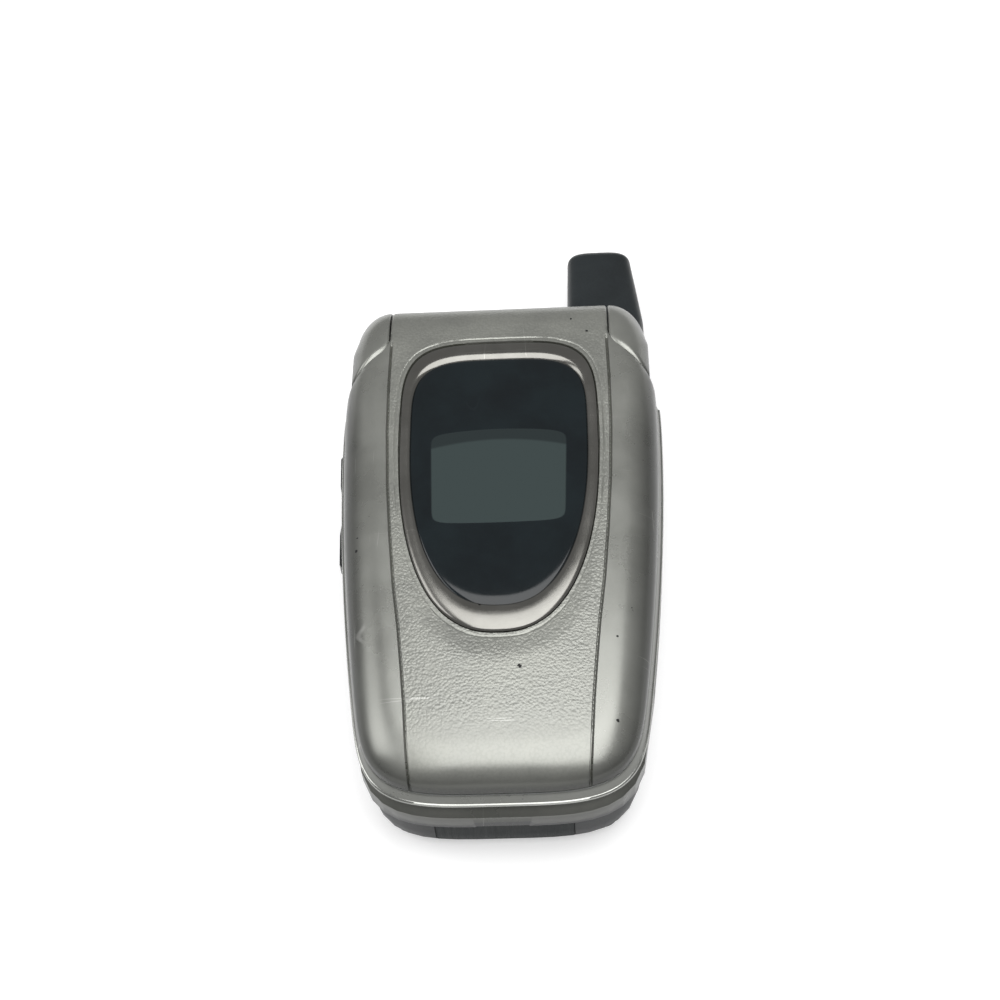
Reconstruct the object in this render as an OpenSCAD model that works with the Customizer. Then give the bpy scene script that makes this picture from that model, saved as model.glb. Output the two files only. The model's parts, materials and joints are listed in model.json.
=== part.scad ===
// Clamshell phone, closed and lying on its back.
// Origin: middle of the flat back. X across, +Y toward the hinge, +Z out of the lid.

/* [Overall] */
// Width across the lid at its widest
lid_w = 47.4; // [46:0.2:52]
// Room from the battery's front end forward to the lid's front edge
front_room = 11.3; // [10:0.1:13]
// Distance from the origin back to the hinge axis
hinge_y = 35; // [34.5:0.1:38]
// Overall thickness of the closed phone
thickness = 23; // [22.6:0.1:25]
// Amount that each side of the lid draws in toward its front edge
side_draw = 5.9; // [4:0.1:6.5]
// Amount that each side draws in toward the hinge
rear_draw = 0.8; // [0:0.1:1.2]
// Wall of the moulded cases
case_wall = 1.2; // [1:0.1:1.4]

/* [Base] */
// Height of the parting line between rear case and front case
parting_z = 8; // [7.8:0.1:8.4]
// Height of the top of the base
base_h = 12.5; // [12.3:0.1:12.7]
// How far the front case stands out past the lid
base_proud = 0.7; // [0.3:0.1:1]
// Y where the front case starts to stand out
flare_y = 13; // [10:0.5:16]
// Recess of the keypad field below the rim
field_depth = 0.8; // [0.6:0.1:0.9]

/* [Lid] */
// Gap between the base and the closed lid
lid_gap = 0.4; // [0.3:0.05:0.6]
// Height of the lid's inner cover
inner_cover_h = 2.6; // [2.4:0.1:2.8]
// Width of the rounding along the lid's edges
lid_round = 5.2; // [4:0.1:6]
// Fall of the lid's top from the hinge to its front edge
front_fall = 3.1; // [2:0.1:3.3]
// Fall of the lid's top from its middle to its sides
side_fall = 1.8; // [1:0.1:2]

/* [Hinge] */
// Radius of the lid's hinge barrel
barrel_r = 8; // [7.8:0.1:8.2]
// Half length of the hinge barrel
barrel_half = 16.7; // [16:0.1:17.2]
// How much further forward the knuckles reach at their outer ends
shoulder_reach = 1.4; // [1:0.1:1.8]
// Distance from the middle to the knuckles' rounded ends
knuckle_end = 22.8; // [22.4:0.1:23]
// Gap at each end of the barrel
knuckle_gap = 0.2; // [0.15:0.05:0.3]
// Gap between turning shells
swing_gap = 0.3; // [0.25:0.05:0.4]
// Radius of the hinge cartridge
cartridge_r = 3; // [2.8:0.1:3.4]
// Length of the hinge cartridge
cartridge_len = 13; // [11:0.5:14]
// Radius of the cam shaft
shaft_r = 1.9; // [1.6:0.1:2.1]
// Outer radius of the hollow hinge bush
bush_r = 3.2; // [3:0.1:3.6]
// Radius of the bore through the hinge bush
bush_bore_r = 2.4; // [2.2:0.1:2.6]
// Angle that the lid opens to
open_deg = 150; // [130:5:150]
// Running clearance of the hinge shafts
run_gap = 0.05; // [0.03:0.01:0.08]

/* [Window] */
// Half width of the window lens
lens_half = 13.05; // [12.6:0.05:13.4]
// Y of the lens where it is widest
lens_y = 14.6; // [14:0.1:15.2]
// Reach of the lens toward the hinge
lens_up = 13.6; // [13:0.1:14.2]
// Reach of the lens toward the front
lens_down = 30.9; // [30:0.1:31.6]
// Width of the bezel beside the lens
bezel_side = 1.6; // [1.2:0.05:1.7]
// Width of the bezel above the lens
bezel_top = 3.3; // [2.4:0.1:3.4]
// Width of the bezel below the lens
bezel_foot = 4.2; // [3:0.1:4.3]
// Thickness of the lens
lens_t = 1.3; // [1:0.1:1.5]
// Height of the bezel above the lid
bezel_proud = 0.25; // [0.1:0.05:0.4]

/* [Keypad] */
// Distance between number rows
row_pitch = 6.6; // [6.2:0.1:6.7]
// Distance between number columns
col_pitch = 11.2; // [10.6:0.1:11.3]
// Y of the top number row
row_y = -12.5; // [-12.8:0.1:-12.2]
// Width of a number key
key_w = 9.6; // [9:0.1:9.9]
// Depth of a number key
key_d = 5; // [4.6:0.1:5.1]
// Outer radius of the navigation ring
nav_r = 7.2; // [6.8:0.1:7.4]
// Radius of the centre key
ok_r = 3; // [2.6:0.1:3.3]
// Travel of every key
key_travel = 0.3; // [0.2:0.05:0.35]
// Gap round every key
key_gap = 0.15; // [0.1:0.05:0.2]

/* [Battery] */
// Width of the battery pack
battery_w = 33.6; // [32:0.2:34]
// Length of the battery pack
battery_l = 52; // [50:0.5:53]
// Thickness of the battery pack
battery_t = 5.6; // [5.2:0.1:5.6]
// Y of the battery's latch end
battery_y = 21; // [20:0.5:21]
// Travel of the battery latch
latch_travel = 1.8; // [1:0.1:2]

/* [Antenna] */
// Distance that the stub stands out behind the base
antenna_l = 24.4; // [18:0.2:26]
// Width of the stub at its root
antenna_w = 12.8; // [11:0.1:13]
// Thickness of the stub
antenna_t = 7.7; // [6.5:0.1:8]
// X of the stub's straight inner side
antenna_x = 10.2; // [10.2:0.1:11]

/* [Side key] */
// Length of the volume rocker
rocker_l = 23.4; // [20:0.2:24]
// Height of the volume rocker
rocker_h = 2.2; // [1.8:0.1:2.2]
// Y of the middle of the rocker
rocker_y = 9.6; // [9:0.1:10]
// How far the rocker stands out of the side
rocker_out = 1.3; // [1:0.1:1.6]

/* [Ports] */
// Width of the connector cover
cover_w = 18.8; // [17:0.2:19.4]
// Radius of the headset jack's bore
jack_r = 1.27; // [1.27:0.01:1.78]
// Length of the headset jack
jack_l = 11; // [9:0.5:12]

/* [Screws] */
// Radius of a screw's shank
screw_r = 0.8; // [0.6:0.05:0.9]
// Radius of a screw's head
screw_head_r = 1.6; // [1.4:0.05:1.7]

/* [Hidden] */
$fn = 48;
eps = 0.02;
far = 80;
slip = 0.05;

// Distance from the origin forward to the lid's front edge
front_len = battery_l - battery_y + front_room;
hinge_z = thickness - barrel_r;
taper_y = 23;
front_c = 25;
lid_z = base_h + lid_gap;
split_z = lid_z + inner_cover_h;
side_z = split_z + 1.1;
base_rear = hinge_y + barrel_r - 0.7;
field_z = base_h - field_depth;
plate_z = field_z - 1;
bed_z = battery_t + 0.1;
bay_z = bed_z + 1;
board_t = 0.8;
mat_t = 0.3;
saddle_r = barrel_r + swing_gap;
skin_r = saddle_r + case_wall;
knuckle_x = barrel_half + knuckle_gap;
rear_taper_y = 20;
ear_xs = [for (k = [0:8]) knuckle_x + (knuckle_end - 0.2 - knuckle_x) * sin(11.25 * k)];
ear_as = [for (a = [0:10:350]) a];

flange_h = 0.65;
flange_top = plate_z - slip;
flange_z = flange_top - flange_h;
mat_z = flange_z - key_travel - slip - mat_t;
dome_h = 0.25;
dome_z = mat_z - dome_h;
dome_t = 0.2;
board_z = dome_z - dome_t - board_t;
key_top = base_h - slip;

end_wall = 2;
knuckle_wall = 1.3;
head_t = 1;
cartridge_x1 = -barrel_half;
cartridge_x0 = cartridge_x1 + cartridge_len;
barrel_bore = barrel_r - case_wall;
bush_x0 = barrel_half - end_wall - 1;
flex_r = bush_bore_r - 0.3;
flex_t = 0.5;
tail_x = knuckle_x + knuckle_wall + head_t + 0.2;
tail_w = 1.5;
tail_y = 20.6;
screw_lid_x = lid_w / 2 - 5.5;
screw_front_x = lid_w / 2 - 10.4;
screw_lid = [[-screw_lid_x, 20], [screw_lid_x, 20],
             [-screw_front_x, 9.1 - front_len], [screw_front_x, 9.1 - front_len]];
screw_base = [[3.5 - lid_w / 2, 27.5], [lid_w / 2 - 2.9, 17.5],
              [0.1 - screw_front_x, 4.8 - front_len], [screw_front_x - 0.1, 4.8 - front_len]];
display_z = lid_z + case_wall;
lid_board_z = display_z + 2.6;
lens_cut = [[-15.2, 11], [15.2, 11], [14.6, -23.5], [-14.6, -23.5]];
earpiece_y = 9.3 - front_len;
motor_r = 2;
motor_y = hinge_y - barrel_r - case_wall - motor_r - 1.9;
slot_z = parting_z + 0.3;
bay_x = battery_w / 2 + 0.15;
bay_y0 = battery_y - battery_l - 0.15;
bay_y1 = battery_y + 0.15;
contact_y = bay_y0 - 3;
latch_w = 10;
latch_x = latch_w / 2 + 0.15;
latch_y0 = battery_y + 1.3;
latch_y1 = latch_y0 + 4.7;
can_z = bay_z + 0.1;
jack_y = 24.6;
jack_z = 5.4;
jack_body_r = 2.2;
mic_x = 9;
mic_y = 3.7 - front_len;
speaker_x = -13.6;
speaker_y = 33.6;
speaker_r = 5;
sim_w = 16;
sim_l = 25;
sim_y = -10;
io_y0 = -front_len + 2;
antenna_z = 5.1;
antenna_mid = antenna_x + antenna_w / 2;
antenna_y1 = base_rear + antenna_l;
thread_r = 2.1;
thread_l = 3;
pin_r = 0.9;
collar_l = 8;
core_r = 1.6;
core_l = antenna_l - 4;
nav_y = 7;

front_n = 8;
rear_n = 5;
edge_n = 5;
across_n = 8;
lid_rear = hinge_y - 0.5;

NUMBER_KEYS = ["key_1", "key_2", "key_3", "key_4", "key_5", "key_6",
               "key_7", "key_8", "key_9", "key_star", "key_0", "key_hash"];

silver = [0.70, 0.70, 0.68];
polished = [0.80, 0.78, 0.76];
dark_grey = [0.23, 0.23, 0.24];
blue_black = [0.17, 0.20, 0.21];
lens_black = [0.08, 0.11, 0.12];
board_green = [0.10, 0.35, 0.22];
tin = [0.75, 0.76, 0.78];
gold = [0.80, 0.66, 0.33];
key_grey = [0.62, 0.64, 0.66];

// ---------- outlines seen from above ----------

// Half width of the lid at y, before any rounding of its front
function side_w(y) =
  lid_w / 2 - side_draw * pow(max(0, taper_y - y) / (taper_y + front_len), 1.8)
  - rear_draw * pow(max(0, y - rear_taper_y) / (hinge_y - rear_taper_y), 2);

// How much of the front case's extra width has come in at y
function flare(y) = min(1, max(0, (flare_y - y) / 2));

// One point of the right half: inset s from the lid's outline, standing proud by p
function side_pt(y, s, p) = [side_w(y) - s + p * flare(y), y];
function front_pt(a, s, p) =
  let (y = -front_c - (front_len - s + 1.5 * p - front_c) * pow(sin(a), 0.4))
  [(side_w(y) - s + p) * pow(cos(a), 0.5), y];
function rear_c(rear) = min(hinge_y - 1, rear - 8);
function rear_pt(a, s, rear) =
  let (c = rear_c(rear), y = c + (rear - s - c) * pow(sin(a), 0.6))
  [(side_w(y) - s) * pow(cos(a), 0.6), y];

function side_ys(c) = concat([for (k = [0:4]) c + (flare_y - c) * k / 4],
                             [for (k = [0:7]) flare_y - 2 - (flare_y - 2 + front_c) * k / 7]);
front_as = [for (k = [1:front_n]) 90 * (1 - pow(1 - k / (front_n + 1), 1.6))];
rear_as = [for (k = [0:rear_n - 1]) 82 * (1 - k / rear_n)];

function half_ring(s, p, rear) = concat(
  [for (a = rear_as) rear_pt(a, s, rear)],
  [for (y = side_ys(rear_c(rear))) side_pt(y, s, p)],
  [for (a = front_as) front_pt(a, s, p)]);
function mirrored(pts) = [for (k = [len(pts) - 1:-1:0]) [-pts[k][0], pts[k][1]]];
function ring(s, p, rear) = concat(half_ring(s, p, rear), mirrored(half_ring(s, p, rear)));

// Closed solid through rings; each level is [z, inset, proud]
module stack(levels, rear) {
  rings = [for (l = levels) ring(l[1], l[2], rear)];
  n = len(rings[0]);
  top = (len(levels) - 1) * n;
  polyhedron(
    points = [for (k = [0:len(levels) - 1]) for (q = rings[k]) [q[0], q[1], levels[k][0]]],
    faces = concat(
      [[for (i = [n - 1:-1:0]) i]],
      [[for (i = [0:n - 1]) top + i]],
      [for (k = [0:len(levels) - 2]) for (i = [0:n - 1])
        let (j = (i + 1) % n) [k * n + i, k * n + j, (k + 1) * n + j, (k + 1) * n + i]]));
}

// Height of the lid's top surface
function crown(y) = min(1, max(0, (hinge_y - 2 - y) / 20));
function lid_top(x, y) =
  thickness - front_fall * pow(max(0, hinge_y - y) / (hinge_y + front_len), 2)
  - side_fall * pow(2 * x / lid_w, 2) * crown(y);

lid_ys = [for (k = [0:10]) lid_rear - (lid_rear + front_c) * k / 10];

// Cross-section of the lid at one station: up one side, over the top, down the other
function lid_side(q, s, low, dz) = let (
    right = concat([[q(s)[0], q(s)[1], low]],
      [for (k = [0:edge_n]) let (a = 90 * k / edge_n, e = q(s + lid_round * (1 - cos(a))))
        [e[0], e[1], side_z + (lid_top(e[0], e[1]) + dz - side_z) * sin(a)]]),
    e = right[edge_n + 1],
    across = [for (k = [1:across_n - 1]) let (x = e[0] * (1 - 2 * k / across_n))
      [x, e[1], lid_top(x, e[1]) + dz]])
  concat(right, across, [for (k = [edge_n + 1:-1:0]) [-right[k][0], right[k][1], right[k][2]]]);

// Solid under the lid's outer surface: inset s, cut flat at low, its top moved by dz
module lid_form(s, low, dz) {
  rows = concat(
    [for (y = lid_ys) lid_side(function (i) [side_w(y) - i, y], s, low, dz)],
    [for (a = front_as) lid_side(function (i) front_pt(a, i, 0), s, low, dz)]);
  n = len(rows[0]);
  m = len(rows) - 1;
  polyhedron(
    points = [for (r = rows) each r],
    faces = concat(
      [concat([for (i = [0:m]) i * n + n - 1], [for (i = [m:-1:0]) i * n])],
      [for (i = [0:m - 1]) for (j = [0:n - 2])
        [i * n + j, (i + 1) * n + j, (i + 1) * n + j + 1, i * n + j + 1]],
      [for (j = [0:edge_n - 1]) [j, j + 1, n - 2 - j, n - 1 - j]],
      [for (j = [edge_n + 1:n - 2 - edge_n]) [edge_n, j, j + 1]],
      [for (j = [0:edge_n - 1])
        [m * n + j, m * n + n - 1 - j, m * n + n - 2 - j, m * n + j + 1]],
      [for (j = [edge_n + 1:n - 2 - edge_n]) [m * n + edge_n, m * n + j + 1, m * n + j]]));
}

// Egg outline of the window: rounder toward the hinge, pointed toward the front
function egg(half, up, down, n = 44) = [for (k = [0:n - 1]) let (
    a = 360 * k / n, c = cos(a), v = sin(a),
    e = v > 0 ? 4 : 2.4)
  [half * sign(c) * pow(abs(c), 2 / e), lens_y + (v > 0 ? up : down) * sign(v) * pow(abs(v), 2 / e)]];

// Rounded key outline
function pebble(w, d, e = 3.2, n = 24) = [for (k = [0:n - 1]) let (a = 360 * (k + 0.5) / n)
  [w / 2 * sign(cos(a)) * pow(abs(cos(a)), 2 / e), d / 2 * sign(sin(a)) * pow(abs(sin(a)), 2 / e)]];

// ---------- shared shapes ----------

module on_axis() translate([0, hinge_y, hinge_z]) rotate([0, 90, 0]) children();

// Cylinder about the hinge axis from x0 to x1
module axle(r, x0, x1) on_axis() translate([0, 0, x0]) cylinder(r = r, h = x1 - x0);

// Radius of a knuckle's front, which faces the lid, at distance x from the middle
function front_r(x) = barrel_r + shoulder_reach * (1 - exp(-max(0, x - knuckle_x) / 1.8));

// Radius of a knuckle's rounded rear at distance x from the middle
function rear_r(x) = barrel_r * sqrt(max(0,
  1 - pow(max(0, x - barrel_half) / (knuckle_end - barrel_half), 1.3)));

// Smooth step from 0 at v = 0 to 1 at v = 1
function ease(v) = let (c = min(1, max(0, v))) c * c * (3 - 2 * c);

// Height of the lid's outer surface, with its rounded side, above the hinge axis
function shoulder_h(x) = let (
    y = hinge_y - barrel_r / 2,
    c = max(0, 1 - (side_w(y) - x) / lid_round))
  side_z + (lid_top(x, y) - side_z) * sqrt(max(0, 1 - c * c)) - hinge_z;

// Radius of a knuckle at x and at angle a, counted from the front up and over to the rear
function ear_r(x, a) =
  a > 180 ? rear_r(x) + (front_r(x) - rear_r(x)) * ease((a - 270) / 60) :
  let (w = ease((a - 60) / 55))
  min(front_r(x), (1 - w) * shoulder_h(x) / max(0.05, sin(a)) + w * rear_r(x));

// Both knuckles, level with the lid in front and rounded behind
module ears() {
  n = len(ear_as);
  m = len(ear_xs) - 1;
  for (side = [0, 1]) mirror([side, 0, 0]) polyhedron(
    points = [for (x = ear_xs) for (a = ear_as) let (r = ear_r(x, a))
      [x, hinge_y - r * cos(a), hinge_z + r * sin(a)]],
    faces = concat(
      [[for (i = [n - 1:-1:0]) i]],
      [[for (i = [0:n - 1]) m * n + i]],
      [for (k = [0:m - 1]) for (i = [0:n - 1]) let (j = (i + 1) % n)
        [k * n + i, k * n + j, (k + 1) * n + j, (k + 1) * n + i]]));
}

// Turned solid about the hinge axis from x0 to x1, its radius given by the function r
module turned(x0, x1, r) {
  n = 7;
  profile = concat([[0, x0]], [for (k = [0:n]) let (x = x0 + (x1 - x0) * k / n) [r(x), x]],
    [[0, x1]]);
  on_axis() for (m = [0, 1]) mirror([0, 0, m]) rotate_extrude() polygon(profile);
}

// Space round the knuckles' fronts, grown by a gap
module front_space(x0, grow) {
  turned(knuckle_x, knuckle_end + 1, function (x) front_r(x) + grow);
  axle(barrel_r + grow, -knuckle_x - slip, -x0);
  axle(barrel_r + grow, x0, knuckle_x + slip);
}

module plate(pts, z0, z1) translate([0, 0, z0]) linear_extrude(z1 - z0) polygon(pts);
module block(x0, x1, y0, y1, z0, z1) translate([x0, y0, z0]) cube([x1 - x0, y1 - y0, z1 - z0]);
module peg(x, y, r, z0, z1) translate([x, y, z0]) cylinder(r = r, h = z1 - z0);

// ---------- hinge places ----------

module barrel_solid() difference() {
  axle(barrel_r, -barrel_half, barrel_half);
  axle(barrel_bore, -barrel_half + end_wall, cartridge_x0 - 1);
  axle(barrel_bore, cartridge_x0 + 0.5, barrel_half - end_wall);
}

module barrel_bores() {
  axle(cartridge_r + slip, -barrel_half - 1, cartridge_x0 + 2);
  axle(bush_r + run_gap, 0, barrel_half + 1);
}

module lid_end_cut() front_space(barrel_half, swing_gap);

// Inside of the lid, stopping short of the barrel's ends and the knuckles
module lid_cavity() difference() {
  lid_form(case_wall, split_z - 1, -case_wall);
  front_space(barrel_half - end_wall, swing_gap + case_wall);
  block(-lid_w, -barrel_half + end_wall, hinge_y - barrel_r, hinge_y + 1, 0, thickness + 1);
  block(barrel_half - end_wall, lid_w, hinge_y - barrel_r, hinge_y + 1, 0, thickness + 1);
  axle(cartridge_r + case_wall + 1, cartridge_x0 - 1, cartridge_x0 + 0.5);
}

// ---------- lid ----------

module lid_outer_cover() color(silver) {
  difference() {
    union() {
      difference() {
        lid_form(0, split_z, 0);
        lid_end_cut();
        lid_cavity();
      }
      difference() {
        barrel_solid();
        translate([0, 0, split_z - far]) linear_extrude(far) square(2 * far, center = true);
      }
    }
    barrel_bores();
    barrel_window();
    plate(egg(lens_half + bezel_side + slip, lens_up + bezel_top + slip,
              lens_down + bezel_foot + slip), split_z, thickness + 1);
  }
  for (q = screw_lid) difference() {
    peg(q[0], q[1], screw_r + 1, split_z + slip, lid_top(q[0], q[1]) - case_wall + 0.3);
    peg(q[0], q[1], screw_r + eps, split_z, split_z + 2.6);
  }
}

// Way from the lid's inside into its barrel
module barrel_window()
  block(cartridge_x0 + 1.5, barrel_half - end_wall - 1.5, hinge_y - barrel_r - 1, hinge_y - 4,
        lid_z + case_wall, split_z + 4.5);

module window_bezel() color(polished) difference() {
  intersection() {
    plate(egg(lens_half + bezel_side, lens_up + bezel_top, lens_down + bezel_foot),
          split_z + 1, thickness + 2);
    lid_form(0, split_z, bezel_proud);
  }
  lid_form(0, split_z - 1, -case_wall - 0.4);
  plate(egg(lens_half, lens_up, lens_down), split_z, thickness + 2);
}

module window_lens() color(lens_black) difference() {
  intersection() {
    plate(egg(lens_half - slip, lens_up - slip, lens_down - slip), split_z + 1, thickness + 2);
    lid_form(0, split_z, 0);
  }
  lid_form(0, split_z - 1, -lens_t);
}

module outer_display() color(tin)
  block(-11.5, 11.5, -3, 17, lid_board_z + board_t, lid_top(11.5, -3) - lens_t - 0.15);

module main_display() color(tin) union() {
  block(-16, 16, -25, 13, display_z, display_z + 2);
  block(-15, 15, -24, 12, display_z + 1.9, lid_board_z);
}

module lid_circuit_board() color(board_green) difference() {
  plate([[-16, 18.5], [16, 18.5], [16, -24], [13, -27.5], [-13, -27.5], [-16, -24]],
        lid_board_z, lid_board_z + board_t);
  for (q = screw_lid) peg(q[0], q[1], screw_r + 1.2, 0, far);
}

module display_lens() color(lens_black)
  plate([for (q = lens_cut) q * 0.998], lid_z + 0.15, display_z);

module lid_inner_cover() color(silver) {
  difference() {
    union() {
      difference() {
        intersection() {
          stack([[lid_z, 1, 0], [lid_z + 0.6, 0.35, 0], [lid_z + 1.5, 0.1, 0], [split_z, 0, 0]],
                hinge_y + far);
          block(-far, far, -far, lid_rear, 0, far);
        }
        stack([[display_z, 1.3, 0], [split_z + 1, 1.3, 0]], hinge_y - barrel_r - case_wall);
        lid_end_cut();
      }
      intersection() {
        barrel_solid();
        translate([0, 0, split_z - far]) linear_extrude(far) square(2 * far, center = true);
      }
    }
    axle(barrel_bore, -barrel_half + end_wall, cartridge_x0 - 1);
    axle(barrel_bore, cartridge_x0 + 0.5, barrel_half - end_wall);
    barrel_bores();
    barrel_window();
    plate(lens_cut, lid_z - 1, display_z + eps);
    for (x = [-3:1.5:3]) peg(x, earpiece_y, 0.4, lid_z - 1, split_z);
    for (q = screw_lid) peg(q[0], q[1], screw_head_r + slip, lid_z - 1, lid_z + 0.9);
    for (q = screw_lid) peg(q[0], q[1], screw_r + eps, lid_z - 1, split_z);
  }
  for (q = screw_lid) difference() {
    peg(q[0], q[1], screw_r + 1, lid_z + 0.9, split_z);
    peg(q[0], q[1], screw_r + eps, lid_z, split_z + 1);
  }
}

module earpiece_speaker() color(tin) union() {
  peg(0, earpiece_y, 5.2, display_z, display_z + 2.2);
  peg(0, earpiece_y, 3.8, display_z + 2.1, display_z + 3);
}

module vibration_motor() color(tin)
  translate([0, motor_y, display_z + motor_r]) rotate([0, 90, 0]) union() {
    translate([0, 0, -13]) cylinder(r = motor_r, h = 8);
    translate([0, 0, -5.1]) cylinder(r = 0.5, h = 1.2);
    translate([0, 0, -4]) cylinder(r = motor_r - 0.3, h = 3);
  }

module lid_screws() color(tin) for (q = screw_lid) union() {
  peg(q[0], q[1], screw_head_r, lid_z + 0.3, lid_z + 0.9);
  peg(q[0], q[1], screw_r, lid_z + 0.8, split_z + 2.4);
}

module lid_bumpers() color(dark_grey) for (q = screw_lid) union() {
  peg(q[0], q[1], screw_head_r, lid_z - lid_gap / 2, lid_z + 0.3);
}

module lid_magnet() color(tin) block(6.5, 10.5, -33, -31, display_z, display_z + 1.2);

// ---------- hinge ----------

module hinge_cartridge() color(tin) difference() {
  axle(cartridge_r, cartridge_x1, cartridge_x0);
  axle(shaft_r + run_gap, cartridge_x1 - 1, cartridge_x0 - 1.5);
}

module hinge_shaft() color(tin) union() {
  axle(shaft_r, -knuckle_x - knuckle_wall - head_t, cartridge_x0 - 2);
  axle(shaft_r + 1, -knuckle_x - knuckle_wall - head_t, -knuckle_x - knuckle_wall);
}

module hinge_bush() color(tin) difference() {
  union() {
    axle(bush_r, bush_x0, knuckle_x + knuckle_wall + 0.1);
    axle(bush_r + 0.6, knuckle_x + knuckle_wall, knuckle_x + knuckle_wall + head_t);
  }
  axle(bush_bore_r, bush_x0 - 1, knuckle_x + knuckle_wall + head_t + 1);
}

module hinge_flex() color(gold) difference() {
  union() {
    axle(flex_r, cartridge_x0 + 2, knuckle_x + knuckle_wall);
    block(cartridge_x0 + 3.2, barrel_half - end_wall - 2.5, 17.5, hinge_y - 1,
          lid_board_z - flex_t, lid_board_z);
  }
  axle(flex_r - flex_t, cartridge_x0 + 1, knuckle_x + knuckle_wall + 1);
}

// ---------- base ----------

base_levels = [[0, 3, 0], [0.5, 1.9, 0], [1.3, 1, 0], [2.6, 0.3, 0], [4.5, 0.05, 0],
               [parting_z, 0, 0]];
base_hollow = [[case_wall, 2.2, 0], [2.6, 1.5, 0], [parting_z + 1, case_wall, 0]];

// Space that the open lid sweeps behind the hinge. The lid's flat top runs tangent
// to the barrel, so the space starts a quarter turn ahead of the opening angle.
module swing_space() let (
    corner = (saddle_r + slip) * [-cos(open_deg), sin(open_deg)])
  on_axis() translate([0, 0, -lid_w]) linear_extrude(2 * lid_w)
    polygon([[0, 0], corner, corner - far * [sin(open_deg), cos(open_deg)], [-far, far / 2]]);

module saddle_skin(z0, z1) intersection() {
  axle(skin_r, -knuckle_x - case_wall, knuckle_x + case_wall);
  block(-far, far, -far, far, z0, z1);
  stack([[0, 1, 0], [base_h, 0, 0]], base_rear);
}

jack_out = side_w(jack_y) - 0.1;

module base_front_case() color(silver) {
  difference() {
    union() {
      difference() {
        union() {
          difference() {
            stack([[parting_z, 0, base_proud - 0.25], [parting_z + 0.6, 0, base_proud],
                   [base_h - 1.4, 0, base_proud], [base_h, 0.6, 0]], base_rear);
            stack([[parting_z - 1, case_wall + 0.1, 0], [plate_z, case_wall + 0.1, 0]], base_rear);
            stack([[field_z, 3.6, 0], [base_h + 1, 3.6, 0]], hinge_y - skin_r - 0.5);
          }
          saddle_skin(parting_z, base_h);
        }
        swing_space();
      }
      intersection() {
        ears();
        block(-far, far, -far, far, parting_z, far);
      }
    }
    axle(saddle_r, -knuckle_x, knuckle_x);
    turned(knuckle_x + knuckle_wall, knuckle_end - case_wall - 0.3,
           function (x) rear_r(x) - case_wall);
    axle(shaft_r + run_gap, -knuckle_x - knuckle_wall - 1, -knuckle_x + 1);
    axle(bush_r + run_gap, knuckle_x - 1, knuckle_x + knuckle_wall + 1);
    for (k = [0:11]) translate(number_place(k)) plate(pebble(key_w + 2 * key_gap,
      key_d + 2 * key_gap), plate_z - 1, base_h);
    for (f = function_keys) translate(f[0]) plate(pebble(f[1] + 2 * key_gap,
      f[2] + 2 * key_gap), plate_z - 1, base_h);
    peg(0, nav_y, nav_r + key_gap, plate_z - 1, base_h);
    peg(mic_x, mic_y, 0.5, plate_z - 1, base_h);
    block(tail_x - 0.2, tail_x + tail_w + 0.2, tail_y, hinge_y + 0.5, parting_z - 1,
          board_z + board_t + 1);
    block(tail_x - 0.2, tail_x + tail_w + 0.2, hinge_y - flex_t - 0.3, hinge_y + 0.5,
          parting_z - 1, hinge_z);
    block(-far, -18, rocker_y - rocker_l / 2 - 0.15, rocker_y + rocker_l / 2 + 0.15,
          slot_z, slot_z + rocker_h + 0.2);
    for (q = screw_base) peg(q[0], q[1], screw_r + eps, parting_z - 1, plate_z - 0.6);
    translate([0, -front_len, parting_z - 0.1]) rotate([90, 0, 0])
      translate([0, 0, -0.6]) linear_extrude(6) polygon([[-4.4, 0], [-3.6, 0.9], [3.4, 0.9], [4.2, 0]]);
  }
  for (q = screw_base) difference() {
    peg(q[0], q[1], screw_r + 1, parting_z + slip, plate_z + 0.2);
    peg(q[0], q[1], screw_r + eps, parting_z, plate_z - 0.6);
  }
}

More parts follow.
